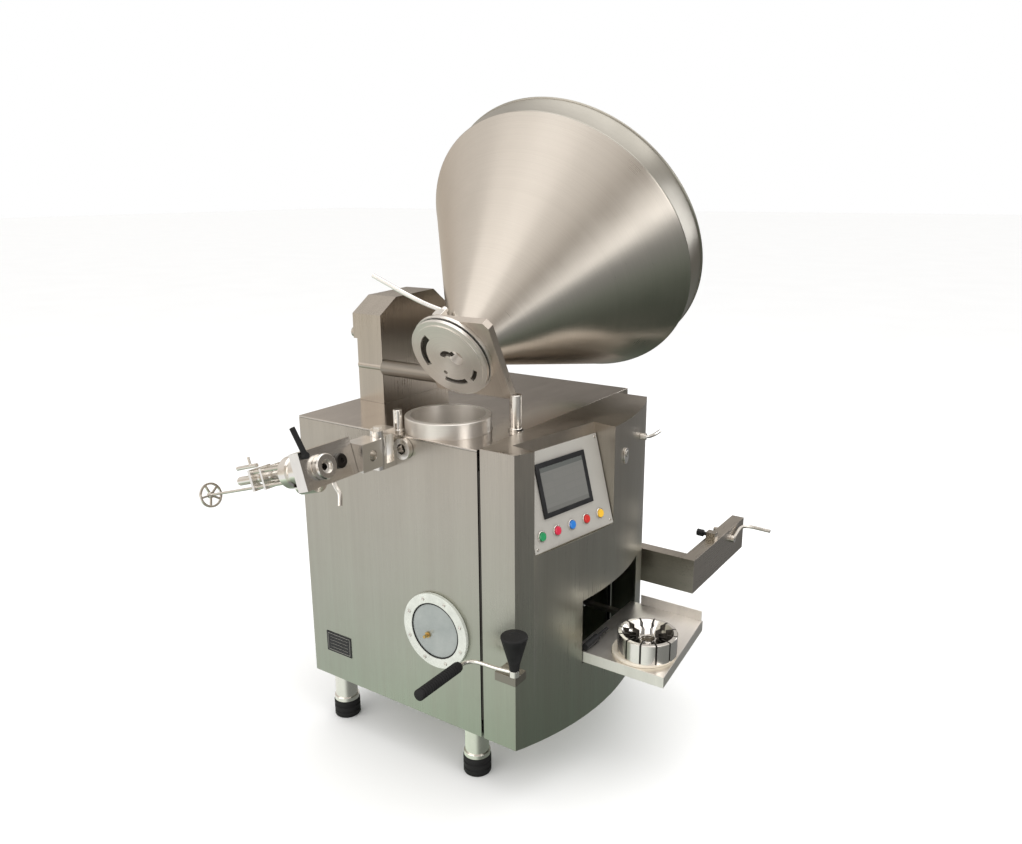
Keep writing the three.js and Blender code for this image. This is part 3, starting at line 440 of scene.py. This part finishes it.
def into_scene(name, data):
    obj = bpy.data.objects.new(name, data)
    bpy.context.scene.collection.objects.link(obj)
    return obj


def finished(name, mesh, material, body, place):
    """Puts a mesh into the scene as a piece that rides on a body."""
    stored = mesh.attributes.get("custom_normal")
    if stored:
        mesh.attributes.remove(stored)
    mesh.materials.clear()
    mesh.materials.append(material)
    mesh.shade_smooth()
    mesh.set_sharp_from_angle(angle=SMOOTH_ANGLE * DEG)
    obj = into_scene(name, mesh)
    obj.matrix_world = place
    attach(obj, body)
    return obj


def bevelled(obj, width, segments=2):
    made = obj.modifiers.new("edges", "BEVEL")
    made.width = width * MM
    made.segments = segments
    made.limit_method = "ANGLE"
    made.angle_limit = BEVEL_ANGLE * DEG
    made.harden_normals = True
    made.use_clamp_overlap = True


def refined(node, width, material=None, place=None, segments=2):
    """A stand-in for a CAD node, with merged corners and edges rounded by width. Place gives it axes of
    its own, which the finish follows."""
    bm = bmesh.new()
    bm.from_mesh(frame["nodes"][node].data)
    bmesh.ops.remove_doubles(bm, verts=bm.verts, dist=2e-5)
    bmesh.ops.dissolve_limit(bm, angle_limit=0.8 * DEG, verts=bm.verts, edges=bm.edges)
    place = place or Matrix.Identity(4)
    bm.transform(place.inverted())
    slot = SLOT_OF[node]
    mesh = mesh_from(bm, node + "_mesh")
    obj = finished(node + "_fine", mesh, material or BY_SLOT[slot], body_of(node), place)
    bevelled(obj, width, segments)
    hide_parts(node)
    done.add(node)
    return obj


def spun(bm, profile, sides=96, turn=None):
    """Adds a closed ring swept from [radius, height] pairs, or a solid if both ends lie on the axis."""
    rows = []
    for r, z in profile:
        if r <= 0:
            rows.append([bm.verts.new((0, 0, z))])
        else:
            angles = [2 * math.pi * i / sides for i in range(sides)]
            rows.append([bm.verts.new((r * math.cos(a), r * math.sin(a), z)) for a in angles])
    closed = len(rows[0]) > 1
    for lower, upper in zip(rows, rows[1:] + rows[:1] if closed else rows[1:]):
        for i in range(sides):
            j = (i + 1) % sides
            if len(lower) == 1:
                bm.faces.new((lower[0], upper[j], upper[i]))
            elif len(upper) == 1:
                bm.faces.new((lower[i], lower[j], upper[0]))
            else:
                bm.faces.new((lower[i], lower[j], upper[j], upper[i]))
    if turn:
        bmesh.ops.transform(bm, matrix=turn, verts=[v for row in rows for v in row])


def box_in(bm, lo, hi, turn=None):
    size = Vector(hi) - Vector(lo)
    middle = (Vector(hi) + Vector(lo)) / 2
    matrix = Matrix.Translation(middle) @ Matrix.Diagonal((*size, 1))
    bmesh.ops.create_cube(bm, size=1, matrix=(turn or Matrix.Identity(4)) @ matrix)


def border_in(bm, lo, hi, width, across):
    """Four bars along the edges of an upright rectangle; across is the number of its level axis."""
    for axis in (2, across):
        near, far = list(hi), list(lo)
        near[axis] = lo[axis] + width
        far[axis] = hi[axis] - width
        box_in(bm, lo, near)
        box_in(bm, far, hi)


def piece(name, build, material, body, place, bevel=0, replaces=()):
    """Runs build on an empty mesh in millimetres and hands it over as a piece."""
    bm = bmesh.new()
    build(bm)
    bmesh.ops.recalc_face_normals(bm, faces=bm.faces)
    bm.transform(Matrix.Scale(MM, 4))
    obj = finished(name, mesh_from(bm, name + "_mesh"), material, body, place)
    if bevel:
        bevelled(obj, bevel)
    if replaces:
        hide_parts(*replaces)
        done.update(replaces)
    return obj


def turned_piece(name, profile, material, node, place, sides, stand_in=True):
    """A turned piece on a node's body, in the node's place if it is a stand-in."""
    return piece(name, lambda bm: spun(bm, profile, sides), material, body_of(node),
                 place, replaces=(node,) if stand_in else ())


def rounded(profile, radius, closed=True):
    """A profile whose corners are replaced by short arcs of about the given radius."""
    steps = 4
    out = []
    n = len(profile)
    for i, (x, y) in enumerate(profile):
        if not closed and i in (0, n - 1):
            out.append((x, y))
            continue
        here = Vector((x, y))
        before = Vector(profile[i - 1]) - here
        after = Vector(profile[(i + 1) % n]) - here
        reach = min(radius, before.length * 0.45, after.length * 0.45)
        a = here + before.normalized() * reach
        b = here + after.normalized() * reach
        for k in range(steps + 1):
            t = k / steps
            p = a * (1 - t) ** 2 + here * 2 * t * (1 - t) + b * t ** 2
            out.append((p.x, p.y))
    return out


def upright(x, y, z=0):
    return MACHINE @ shifted(x, y, z)


TO_FRONT = Matrix.Rotation(math.pi / 2, 4, "X")        # a piece's Z axis turned to -Y
TO_RIGHT = Matrix.Rotation(math.pi / 2, 4, "Y")        # a piece's Z axis turned to +X


# ---- hopper -------------------------------------------------------------------------------------
NECK_R, RIM_R, CONE_H, RIM_H, WALL = 72, 470, 550, 95, 3
NECK_Z = PLATE_TOP + 0.3
CONE_TOP = NECK_Z + CONE_H
RIM_TOP = CONE_TOP + RIM_H
HOPPER_AXIS = HOPPER @ shifted(HOPPER_X, HOPPER_Y, 0)


def build_hopper():
    def rim_bead(r, z, size):
        steps = 10
        return [(r + size * math.cos(a), z + size * math.sin(a))
                for a in [-math.pi / 2 + math.pi * i / steps for i in range(steps + 1)]]

    outer = [(NECK_R, NECK_Z), (NECK_R + 9, NECK_Z), (NECK_R + 10, NECK_Z + 1), (NECK_R + 10, NECK_Z + 5),
             (NECK_R + 9, NECK_Z + 6), (NECK_R + 4, NECK_Z + 7), (NECK_R + 3, NECK_Z + 9)]
    joint = [(RIM_R - 2.5, CONE_TOP - 3.5), (RIM_R - 0.2, CONE_TOP - 1.6), (RIM_R + 0.9, CONE_TOP + 1),
             (RIM_R + 0.6, CONE_TOP + 3.4), (RIM_R, CONE_TOP + 5)]
    band = [(RIM_R, RIM_TOP - 9)]
    lip = rim_bead(RIM_R, RIM_TOP - 4, 4)
    inner = [(RIM_R - WALL, RIM_TOP - 8), (RIM_R - WALL, CONE_TOP + 2), (NECK_R - 1, NECK_Z + 10)]

    def build(bm):
        spun(bm, outer + joint + band + lip + inner, 180)

    shell = piece("hopper_shell", build, CONE, "hopper", HOPPER_AXIS, replaces=("hopper_cone",))
    shell.data.materials.append(BAND)
    for face in shell.data.polygons:
        if CONE_TOP - 2 < face.center.z / MM < RIM_TOP and math.hypot(*face.center.xy) / MM > RIM_R - 1.5:
            face.material_index = 1

    def seam(bm):
        """The weld down the cone: a low bead that rises and falls from one ripple to the next."""
        angle = math.radians(112)
        ripples, foot, shoulder, sunk = 90, 2.4, 1.5, -0.6
        run, rise = RIM_R - NECK_R - 3, CONE_H - 8
        slope = math.atan2(run, rise)
        length = math.hypot(run, rise) - 14
        rows = []
        for i in range(ripples + 1):
            d = 8 + length * i / ripples
            r = NECK_R + 3 + d * math.sin(slope)
            z = NECK_Z + 9 + d * math.cos(slope)
            lift = 0.5 + 0.25 * (i % 2)
            section = ((-foot, sunk), (-shoulder, lift * 0.7), (0, lift), (shoulder, lift * 0.7),
                       (foot, sunk))
            ring = []
            for w, h in section:
                out = r + h * math.cos(slope)
                a = angle + w / r
                ring.append(bm.verts.new((out * math.cos(a), out * math.sin(a), z - h * math.sin(slope))))
            rows.append(ring)
        for lower, upper in zip(rows, rows[1:]):
            for k in range(5):
                bm.faces.new((lower[k], lower[(k + 1) % 5], upper[(k + 1) % 5], upper[k]))
        bm.faces.new(rows[0])
        bm.faces.new(rows[-1][::-1])

    piece("hopper_weld", seam, MACHINED, "hopper", HOPPER_AXIS)
    refined("hopper_base_plate", 2.0, PLATE, HOPPER_AXIS, segments=3)
    refined("pump_cover_disc", 0.9, SATIN, HOPPER @ shifted(PUMP_X, PUMP_Y, 0))
    refined("hopper_hinge_arm", 1.5, SHADED_HINGE)
    refined("clamp_block", 1.5, SHINE)
    refined("clamp_lever", 0.8, SHINE)

    def bolts(bm):
        for dx, dy in ((-142, 118), (94, 34), (104, 250), (-60, 34)):
            turn = Matrix.Translation((HOPPER_X + dx, dy, 0))
            spun(bm, [(0, PLATE_TOP), (7.5, PLATE_TOP), (7.5, PLATE_TOP + 5), (6.8, PLATE_TOP + 6),
                      (4, PLATE_TOP + 6), (4, PLATE_TOP + 2.5), (0, PLATE_TOP + 2.5)], 24, turn)

    piece("hopper_bolts", bolts, SHINE, "hopper", HOPPER)

    def kidney(bm, r0, r1, a0, a1, z):
        """A thin dark curved inset lying in one of the disc's pockets, a painted shade for the pocket's
        depth.
        """
        steps, thickness = 14, 1.2
        angles = [math.radians(a0 + (a1 - a0) * i / steps) for i in range(steps + 1)]
        rings = []
        for height in (z, z - thickness):
            rings.append([bm.verts.new((r * math.cos(a), r * math.sin(a), height))
                          for r, sweep in ((r1, angles), (r0, angles[::-1])) for a in sweep])
        bm.faces.new(rings[0])
        bm.faces.new(rings[1][::-1])
        for i in range(len(rings[0])):
            j = (i + 1) % len(rings[0])
            bm.faces.new((rings[0][i], rings[0][j], rings[1][j], rings[1][i]))

    # painted shade: dark insets at the pocket floors stand in for the shade inside the deep pockets
    def pocket_shade_insets(bm):
        for r0, r1, a0, a1, depth in ((79, 97, 161, 234, 9), (77, 91, 63, 117, 6), (85, 97, 21, 47, 6),
                                      (13, 29, 202, 328, 7)):
            kidney(bm, r0, r1, a0, a1, DISC_FACE + depth - 0.1)

    piece("disc_pocket_painted_shade", pocket_shade_insets, DARK, "hopper", HOPPER @ shifted(PUMP_X, PUMP_Y, 0))

    def o_ring(bm):
        spun(bm, rounded([(125.8, DISC_FACE + 14.4), (130.2, DISC_FACE + 14.4), (130.2, DISC_FACE + 18.6),
                          (125.8, DISC_FACE + 18.6)], 2), 128)

    piece("disc_o_ring", o_ring, RUBBER, "hopper", HOPPER @ shifted(PUMP_X, PUMP_Y, 0))


# ---- pump and deck ------------------------------------------------------------------------------
def build_pump():
    refined("top_deck", 1.2, DECK, segments=3)
    refined("pump_housing", 1.2, SATIN, upright(PUMP_X, PUMP_Y))
    refined("pump_shaft", 0.8, MACHINED, upright(PUMP_X, PUMP_Y))
    for node, (x, y, r, h) in STUDS.items():
        bore = r / 2
        profile = [(0, 0.3), (r + 4, 0.3), (r + 4, 7), (r + 3, 8), (r, 8), (r, h - 1.5), (r - 1.5, h),
                   (bore, h), (bore, h - 11), (0, h - 11)]
        raised = [(across, z + CABINET_H) for across, z in profile]
        turned_piece(node + "_fine", raised, SHINE, node, upright(x, y), 48)
    refined("outlet_port", 0.8, RINGS, upright(PORT_X, 0, PORT_Z) @ TO_FRONT)


# ---- feet, sight glass, name plate --------------------------------------------------------------
def build_feet():
    foot_r, foot_h, leg_h, leg_r = 44, 60, 180, 37.6
    for where in ("front_left", "front_right", "rear_left", "rear_right"):
        node = "foot_" + where
        lo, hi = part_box(node)
        middle = (lo + hi) / 2
        place = Matrix.Translation((middle.x, middle.y, 0))
        profile = [(0, 0), (foot_r - 5, 0), (foot_r - 1.5, 1.2), (foot_r, 4), (foot_r, 17), (foot_r - 3, 19),
                   (foot_r - 3, 23), (foot_r, 25), (foot_r, 38), (foot_r - 3, 40), (foot_r - 3, 44),
                   (foot_r, 46), (foot_r, foot_h - 4), (foot_r - 1.5, foot_h - 1), (foot_r - 5, foot_h),
                   (0, foot_h)]
        turned_piece(node + "_fine", profile, RUBBER, node, place, 72)
        collar = [(leg_r, foot_h + 0.4), (41, foot_h + 0.4), (41.8, foot_h + 1.5), (41.8, foot_h + 14),
                  (41, foot_h + 15), (leg_r, foot_h + 15)]
        turned_piece(node + "_collar", collar, RINGS, node, place, 72, stand_in=False)
        flange = [(leg_r, leg_h - 9), (44, leg_h - 9), (44.6, leg_h - 8.4), (44.6, leg_h - 0.4),
                  (leg_r, leg_h - 0.4)]
        piece("leg_flange_" + where, lambda bm, p=flange: spun(bm, p, 72), RINGS, "machine_frame",
              place)


def build_sight_glass():
    place = upright(GLASS_X, 0, GLASS_Z) @ TO_FRONT
    ring = rounded([(WINDOW_R + 0.3, 0.3), (GLASS_R, 0.3), (GLASS_R, 13), (WINDOW_R + 0.3, 13)], 2.2)
    turned_piece("sight_ring_fine", ring, RIM, "sight_ring", place, 128)
    window = [(0, 2), (WINDOW_R, 2), (WINDOW_R, 8), (WINDOW_R - 1, 9), (0, 9)]
    turned_piece("sight_window_fine", window, PANE, "sight_window", place, 128)
    seal = rounded([(WINDOW_R - 4, 9), (WINDOW_R + 0.2, 9), (WINDOW_R + 0.2, 11.5), (WINDOW_R - 4, 11.5)], 1)
    turned_piece("sight_seal", seal, RUBBER, "sight_window", place, 128, stand_in=False)

    def screws(bm):
        count = 8
        r = (GLASS_R + WINDOW_R) / 2
        for i in range(count):
            a = (i + 0.5) / count * 2 * math.pi
            spot = Matrix.Translation((r * math.cos(a), r * math.sin(a), 0))
            spun(bm, [(0, 12.5), (5.4, 12.5), (5.4, 14.6), (4.4, 16), (2.4, 16), (2.4, 14), (0, 14)], 20,
                 spot)

    piece("sight_screws", screws, SHINE, "machine_frame", place)
    refined("sight_fitting", 0.5, BRASS)


def build_name_plate():
    refined("name_plate", 0.5, PLASTIC)
    lo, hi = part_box("name_plate")

    def border(bm):
        x0, x1, z0, z1 = lo.x / MM + 6, hi.x / MM - 6, lo.z / MM + 6, hi.z / MM - 6
        y0, y1 = lo.y / MM - 0.4, lo.y / MM + 0.4
        border_in(bm, (x0, y0, z0), (x1, y1, z1), 1.2, 0)
        lines = 4
        for i in range(lines):
            z = z0 + (z1 - z0) * (i + 1) / (lines + 1)
            box_in(bm, (x0 + 10, y0, z - 0.4), (x1 - 10, y1, z + 0.4))

    piece("name_plate_border", border, MACHINED, "machine_frame", Matrix.Identity(4), 0.2)


# ---- control door and panel ---------------------------------------------------------------------
def build_door():
    refined("control_door", 1.6, SHEET, segments=3)
    refined("cabinet_wrap", 1.6, SHEET, segments=3)
    refined("rear_panel", 0.8, SHEET)
    refined("hopper_column", 1.4, COLUMN, segments=3)

    def gasket(bm):
        border_in(bm, (1.2, 8, 8), (DOOR_GAP - 0.2, DOOR_L - 8, DOOR_H - 18), 9, 1)

    piece("door_gasket", gasket, RUBBER, "door", MACHINE, 1.0)


def build_panel():
    refined("control_panel_plate", 0.5, GREY, PANEL).name = "panel_plate_fine"
    for i, colour in enumerate(BUTTONS):
        x = PANEL_L / 2 - 9 + (i - 2) * BUTTON_PITCH
        spot = PANEL @ shifted(x, BUTTON_ROW, 0)
        ring = rounded([(13.1, 3.4), (16.4, 3.4), (16, 7.2), (14.6, 8.4), (13.1, 8)], 0.6)
        turned_piece("bezel_" + colour, ring, SHINE, "control_panel_plate", spot, 48, stand_in=False)
        cap = [(0, 4), (12.5, 4), (12.5, 9.6), (11.8, 10.9), (10.2, 11.6), (9.6, 11.4), (6, 11.9),
               (0, 12.1)]
        turned_piece("cap_" + colour, cap, BY_SLOT[colour], "button_" + colour, spot, 48)

    screen_x, screen_y = PANEL_L / 2 - 8, 168
    middle = PANEL @ shifted(screen_x, screen_y, 0)
    refined("screen_bezel", 1.6, PLASTIC, middle, segments=3)
    refined("touch_screen", 0.4, SCREEN, middle)

    def screws(bm):
        for x in (14, PANEL_L - 14):
            for y in (14, PANEL_H - 44):
                spot = Matrix.Translation((x, y, 0))
                spun(bm, [(0, 3.2), (4.4, 3.2), (4.4, 4.2), (3.4, 5.4), (1.8, 5.6), (1.8, 4.6), (0, 4.6)],
                     24, spot)

    piece("panel_screws", screws, SHINE, "door", PANEL)


# ---- knee lever ---------------------------------------------------------------------------------
def build_knee():
    z = KNEE_Z
    refined("knee_pivot_block", 1.2, SHADED_HINGE)
    refined("knee_lever", 0.6, SHINE)
    cone = rounded([(14, z + 9.3), (16, z + 28), (37, z + 104), (39, z + 111), (36, z + 116),
                    (14, z + 117.6)], 3, closed=False)
    profile = [(0, z + 9.3)] + cone + [(12, z + 116), (0, z + 116)]
    turned_piece("knee_cone_fine", profile, RUBBER, "knee_cone", upright(KNEE_X, KNEE_Y), 72)
    lo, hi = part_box("knee_grip")
    middle = (lo + hi) / 2
    length = (hi.y - lo.y) / MM
    ribs = [(0, 0), (13, 0), (15.2, 0.8), (16, 3)]
    step = 9.2
    count = int((length - 34) / step)
    for i in range(count):
        s = 12 + i * step
        ribs += [(16, s), (15.2, s + 0.8), (14.3, s + 1.2), (14.3, s + 2.6), (15.2, s + 3), (16, s + 3.8)]
    ribs += [(16, length - 12), (14, length - 4), (10, length), (7.5, length), (7.5, length - 60),
             (0, length - 60)]
    place = Matrix.Translation((middle.x, lo.y, middle.z)) @ Matrix.Rotation(-math.pi / 2, 4, "X")
    turned_piece("knee_grip_fine", ribs, RUBBER, "knee_grip", place, 56)


# ---- tray and the pump parts on it --------------------------------------------------------------
def build_tray():
    refined("storage_tray", 0.8, TRAY)
    z = ROTOR_Z
    place = upright(ROTOR_X, ROTOR_Y)
    refined("wear_disc", 1.0, CREAM)
    refined("pump_rotor", 0.9, RINGS, place)

    def vanes(bm):
        count = 12
        for i in range(count):
            turn = Matrix.Rotation((i + 0.4) / count * 2 * math.pi, 4, "Z")
            box_in(bm, (57, -2.4, z + 0.6), (88.5, 2.4, z + 61.5), turn)
            box_in(bm, (34, -1.2, z + 30), (58, 1.2, z + 52), turn)

    piece("rotor_vanes", vanes, DARK, "tray", place, 0.7)

    def hub(bm):
        spun(bm, [(20.5, z + 28), (28, z + 28), (28, z + 38), (26, z + 40), (22.5, z + 40),
                  (20.5, z + 38)], 64)

    piece("rotor_hub", hub, SHINE, "tray", place)
    refined("rotor_key", 1.0, RUBBER)


# ---- twisting head ------------------------------------------------------------------------------
def build_head():
    axis = HEAD @ shifted(0, HORN_Y, PORT_Z) @ TO_RIGHT
    refined("swing_bracket", 1.0, SHINE)
    refined("swing_arm", 1.2, SHINE)
    refined("head_gearcase", 2.0, SHINE, segments=3)
    refined("horn_tube", 0.7, RINGS, axis)
    refined("horn_bearing_cage", 0.8, RINGS, axis)
    refined("drive_coupling", 0.6, DARK, HEAD @ shifted(0, COUPLING_Y, PORT_Z) @ TO_RIGHT)
    refined("brake_lever", 0.5, SHINE)
    refined("guide_rod", 0.5, SHINE)
    refined("head_handle", 1.0, RUBBER)


# ---- parts that keep their CAD shape ------------------------------------------------------------
def build_rest():
    rounding = {"base_frame": 1.0, "pump_drive": 3.0, "lift_arm": 2.2, "tray_rails": 0.6, "latch_lever": 0.5}
    finish_of = {"lift_arm": ARM, "arm_bearing": MACHINED, "base_frame": SHINE, "door_hinge": DARK}
    for node in sorted(frame["nodes"]):
        if node not in done:
            refined(node, rounding.get(node, 0.7), finish_of.get(node))


# ---- floor, lights, camera ----------------------------------------------------------------------
def build_stage():
    bm = bmesh.new()
    bmesh.ops.create_grid(bm, x_segments=1, y_segments=1, size=60)
    mesh = mesh_from(bm, "floor_mesh")
    f = Finish("floor_finish", 0, 0.75, (0.92, 0.92, 0.915))
    cloud = f.noise(f.place, 1.2, 3, 0.5)
    f.feed(f.mix(f.span(cloud, 0, 1), (0.91, 0.91, 0.905), (0.93, 0.93, 0.925)), "Base Color")
    mesh.materials.append(f.material)
    floor = into_scene("floor", mesh)
    floor.location.z = min(0, cad_box[0].z) - 0.0005
    floor.visible_glossy = False


def build_world():
    """White behind the machine, even light on matt surfaces and, for the metal, a room to mirror that is
    bright on the front left and dark on the right rear."""
    bright_side = (-0.72, -0.69, 0.05)
    greys = ((0.0, 0.21), (0.25, 0.22), (0.42, 0.27), (0.54, 0.62), (0.66, 0.98), (1.0, 0.88))
    tints = ((0.0, (0.10, 0.11, 0.09)), (0.16, (0.30, 0.36, 0.28)), (0.26, (1.25, 1.45, 1.18)),
             (0.35, (1.35, 1.42, 1.24)), (0.43, (0.84, 0.76, 0.66)), (0.5, (0.52, 0.44, 0.36)),
             (0.62, (0.86, 0.80, 0.73)), (1.0, (1.0, 0.98, 0.95)))
    ceiling, ceiling_from, ceiling_to = (0.80, 0.765, 0.72), 0.22, 0.7
    even_strength = 1.12

    world = bpy.data.worlds.new("studio")
    bpy.context.scene.world = world
    world.use_nodes = True
    tree = world.node_tree
    tree.nodes.clear()
    link = tree.links.new

    def add(kind, **settings):
        made = tree.nodes.new(kind)
        for key, value in settings.items():
            setattr(made, key, value)
        return made

    def ramp(value, stops):
        """A smooth colour ramp over a value that runs from -1 to 1."""
        level = add("ShaderNodeMapRange")
        level.inputs["From Min"].default_value = -1
        link(value, level.inputs["Value"])
        made = add("ShaderNodeValToRGB")
        made.color_ramp.interpolation = "B_SPLINE"
        while len(made.color_ramp.elements) < len(stops):
            made.color_ramp.elements.new(0.5)
        for element, (spot, colour) in zip(made.color_ramp.elements, stops):
            element.position = spot
            element.color = (*colour, 1)
        link(level.outputs["Result"], made.inputs["Fac"])
        return made.outputs["Color"]

    def background(strength, colour=None):
        """A background of one strength, white unless a colour is wired to it."""
        made = add("ShaderNodeBackground")
        made.inputs["Strength"].default_value = strength
        made.inputs["Color"].default_value = (1, 1, 1, 1)
        if colour:
            link(colour, made.inputs["Color"])
        return made.outputs[0]

    rays = add("ShaderNodeLightPath")

    def choose(ray, otherwise, chosen):
        """One background for the named kind of ray, and another for the rest."""
        made = add("ShaderNodeMixShader")
        for output, socket in zip((rays.outputs[ray], otherwise, chosen), made.inputs):
            link(output, socket)
        return made.outputs[0]

    direction = add("ShaderNodeTexCoord").outputs["Generated"]
    split = add("ShaderNodeSeparateXYZ")
    link(direction, split.inputs[0])
    side = add("ShaderNodeVectorMath", operation="DOT_PRODUCT")
    side.inputs[1].default_value = bright_side
    link(direction, side.inputs[0])

    walls = add("ShaderNodeMix", data_type="RGBA", blend_type="MULTIPLY")
    walls.inputs["Factor"].default_value = 1
    brightness = ramp(side.outputs["Value"], [(spot, (grey, grey, grey)) for spot, grey in greys])
    for colour, socket in zip((brightness, ramp(split.outputs["Z"], tints)), rgba(walls.inputs)):
        link(colour, socket)
    lift = add("ShaderNodeMapRange", interpolation_type="SMOOTHSTEP")
    lift.inputs["From Min"].default_value = ceiling_from
    lift.inputs["From Max"].default_value = ceiling_to
    link(split.outputs["Z"], lift.inputs["Value"])
    sky = add("ShaderNodeMix", data_type="RGBA")
    link(lift.outputs["Result"], sky.inputs["Factor"])
    below, above = rgba(sky.inputs)
    link(rgba(walls.outputs)[0], below)
    above.default_value = (*ceiling, 1)

    room = background(1.0, rgba(sky.outputs)[0])
    lit = choose("Is Camera Ray", choose("Is Diffuse Ray", room, background(even_strength)), background(1.0))
    link(lit, add("ShaderNodeOutputWorld").inputs["Surface"])
    world.cycles.sampling_method = "NONE"


def softbox(name, place, target, size, power, colour=(1, 1, 1)):
    data = bpy.data.lights.new(name, "AREA")
    data.shape = "RECTANGLE"
    data.size, data.size_y = size
    data.energy = power
    data.color = colour
    obj = into_scene(name, data)
    obj.location = place
    obj.rotation_mode = "QUATERNION"
    obj.rotation_quaternion = (Vector(place) - Vector(target)).to_track_quat("Z", "Y")


def build_lights():
    softbox("key", (-1.6, -4.6, 2.6), (0, 0, 1.0), (4.6, 3.4), 55, (1.0, 0.97, 0.93))
    softbox("top", (0.6, 0.2, 4.6), (0, 0, 0), (4.5, 4.5), 60)
    softbox("side", (4.4, -1.2, 2.0), (0.2, 0.2, 1.2), (1.6, 2.6), 40, (1.0, 0.98, 0.95))
    softbox("back", (1.6, 4.4, 2.6), (0, 0.2, 1.2), (2.4, 2.0), 40)


def build_camera():
    azimuth, pitch, roll = 34.31 * DEG, 15.08 * DEG, -0.35 * DEG
    data = bpy.data.cameras.new("view")
    data.sensor_width = 36
    data.lens = 30.65
    camera = into_scene("view", data)
    back = Vector((math.sin(azimuth) * math.cos(pitch), -math.cos(azimuth) * math.cos(pitch),
                   math.sin(pitch)))
    camera.location = ORIGIN + mm(1361.7, -1827.9, 1593)
    camera.rotation_mode = "QUATERNION"
    camera.rotation_quaternion = back.to_track_quat("Z", "Y") @ Quaternion((0, 0, 1), roll)
    bpy.context.scene.camera = camera


build_hopper()
build_pump()
build_feet()
build_sight_glass()
build_name_plate()
build_door()
build_panel()
build_knee()
build_tray()
build_head()
build_rest()
build_stage()
build_world()
build_lights()
build_camera()
bpy.context.scene.view_settings.view_transform = "Standard"
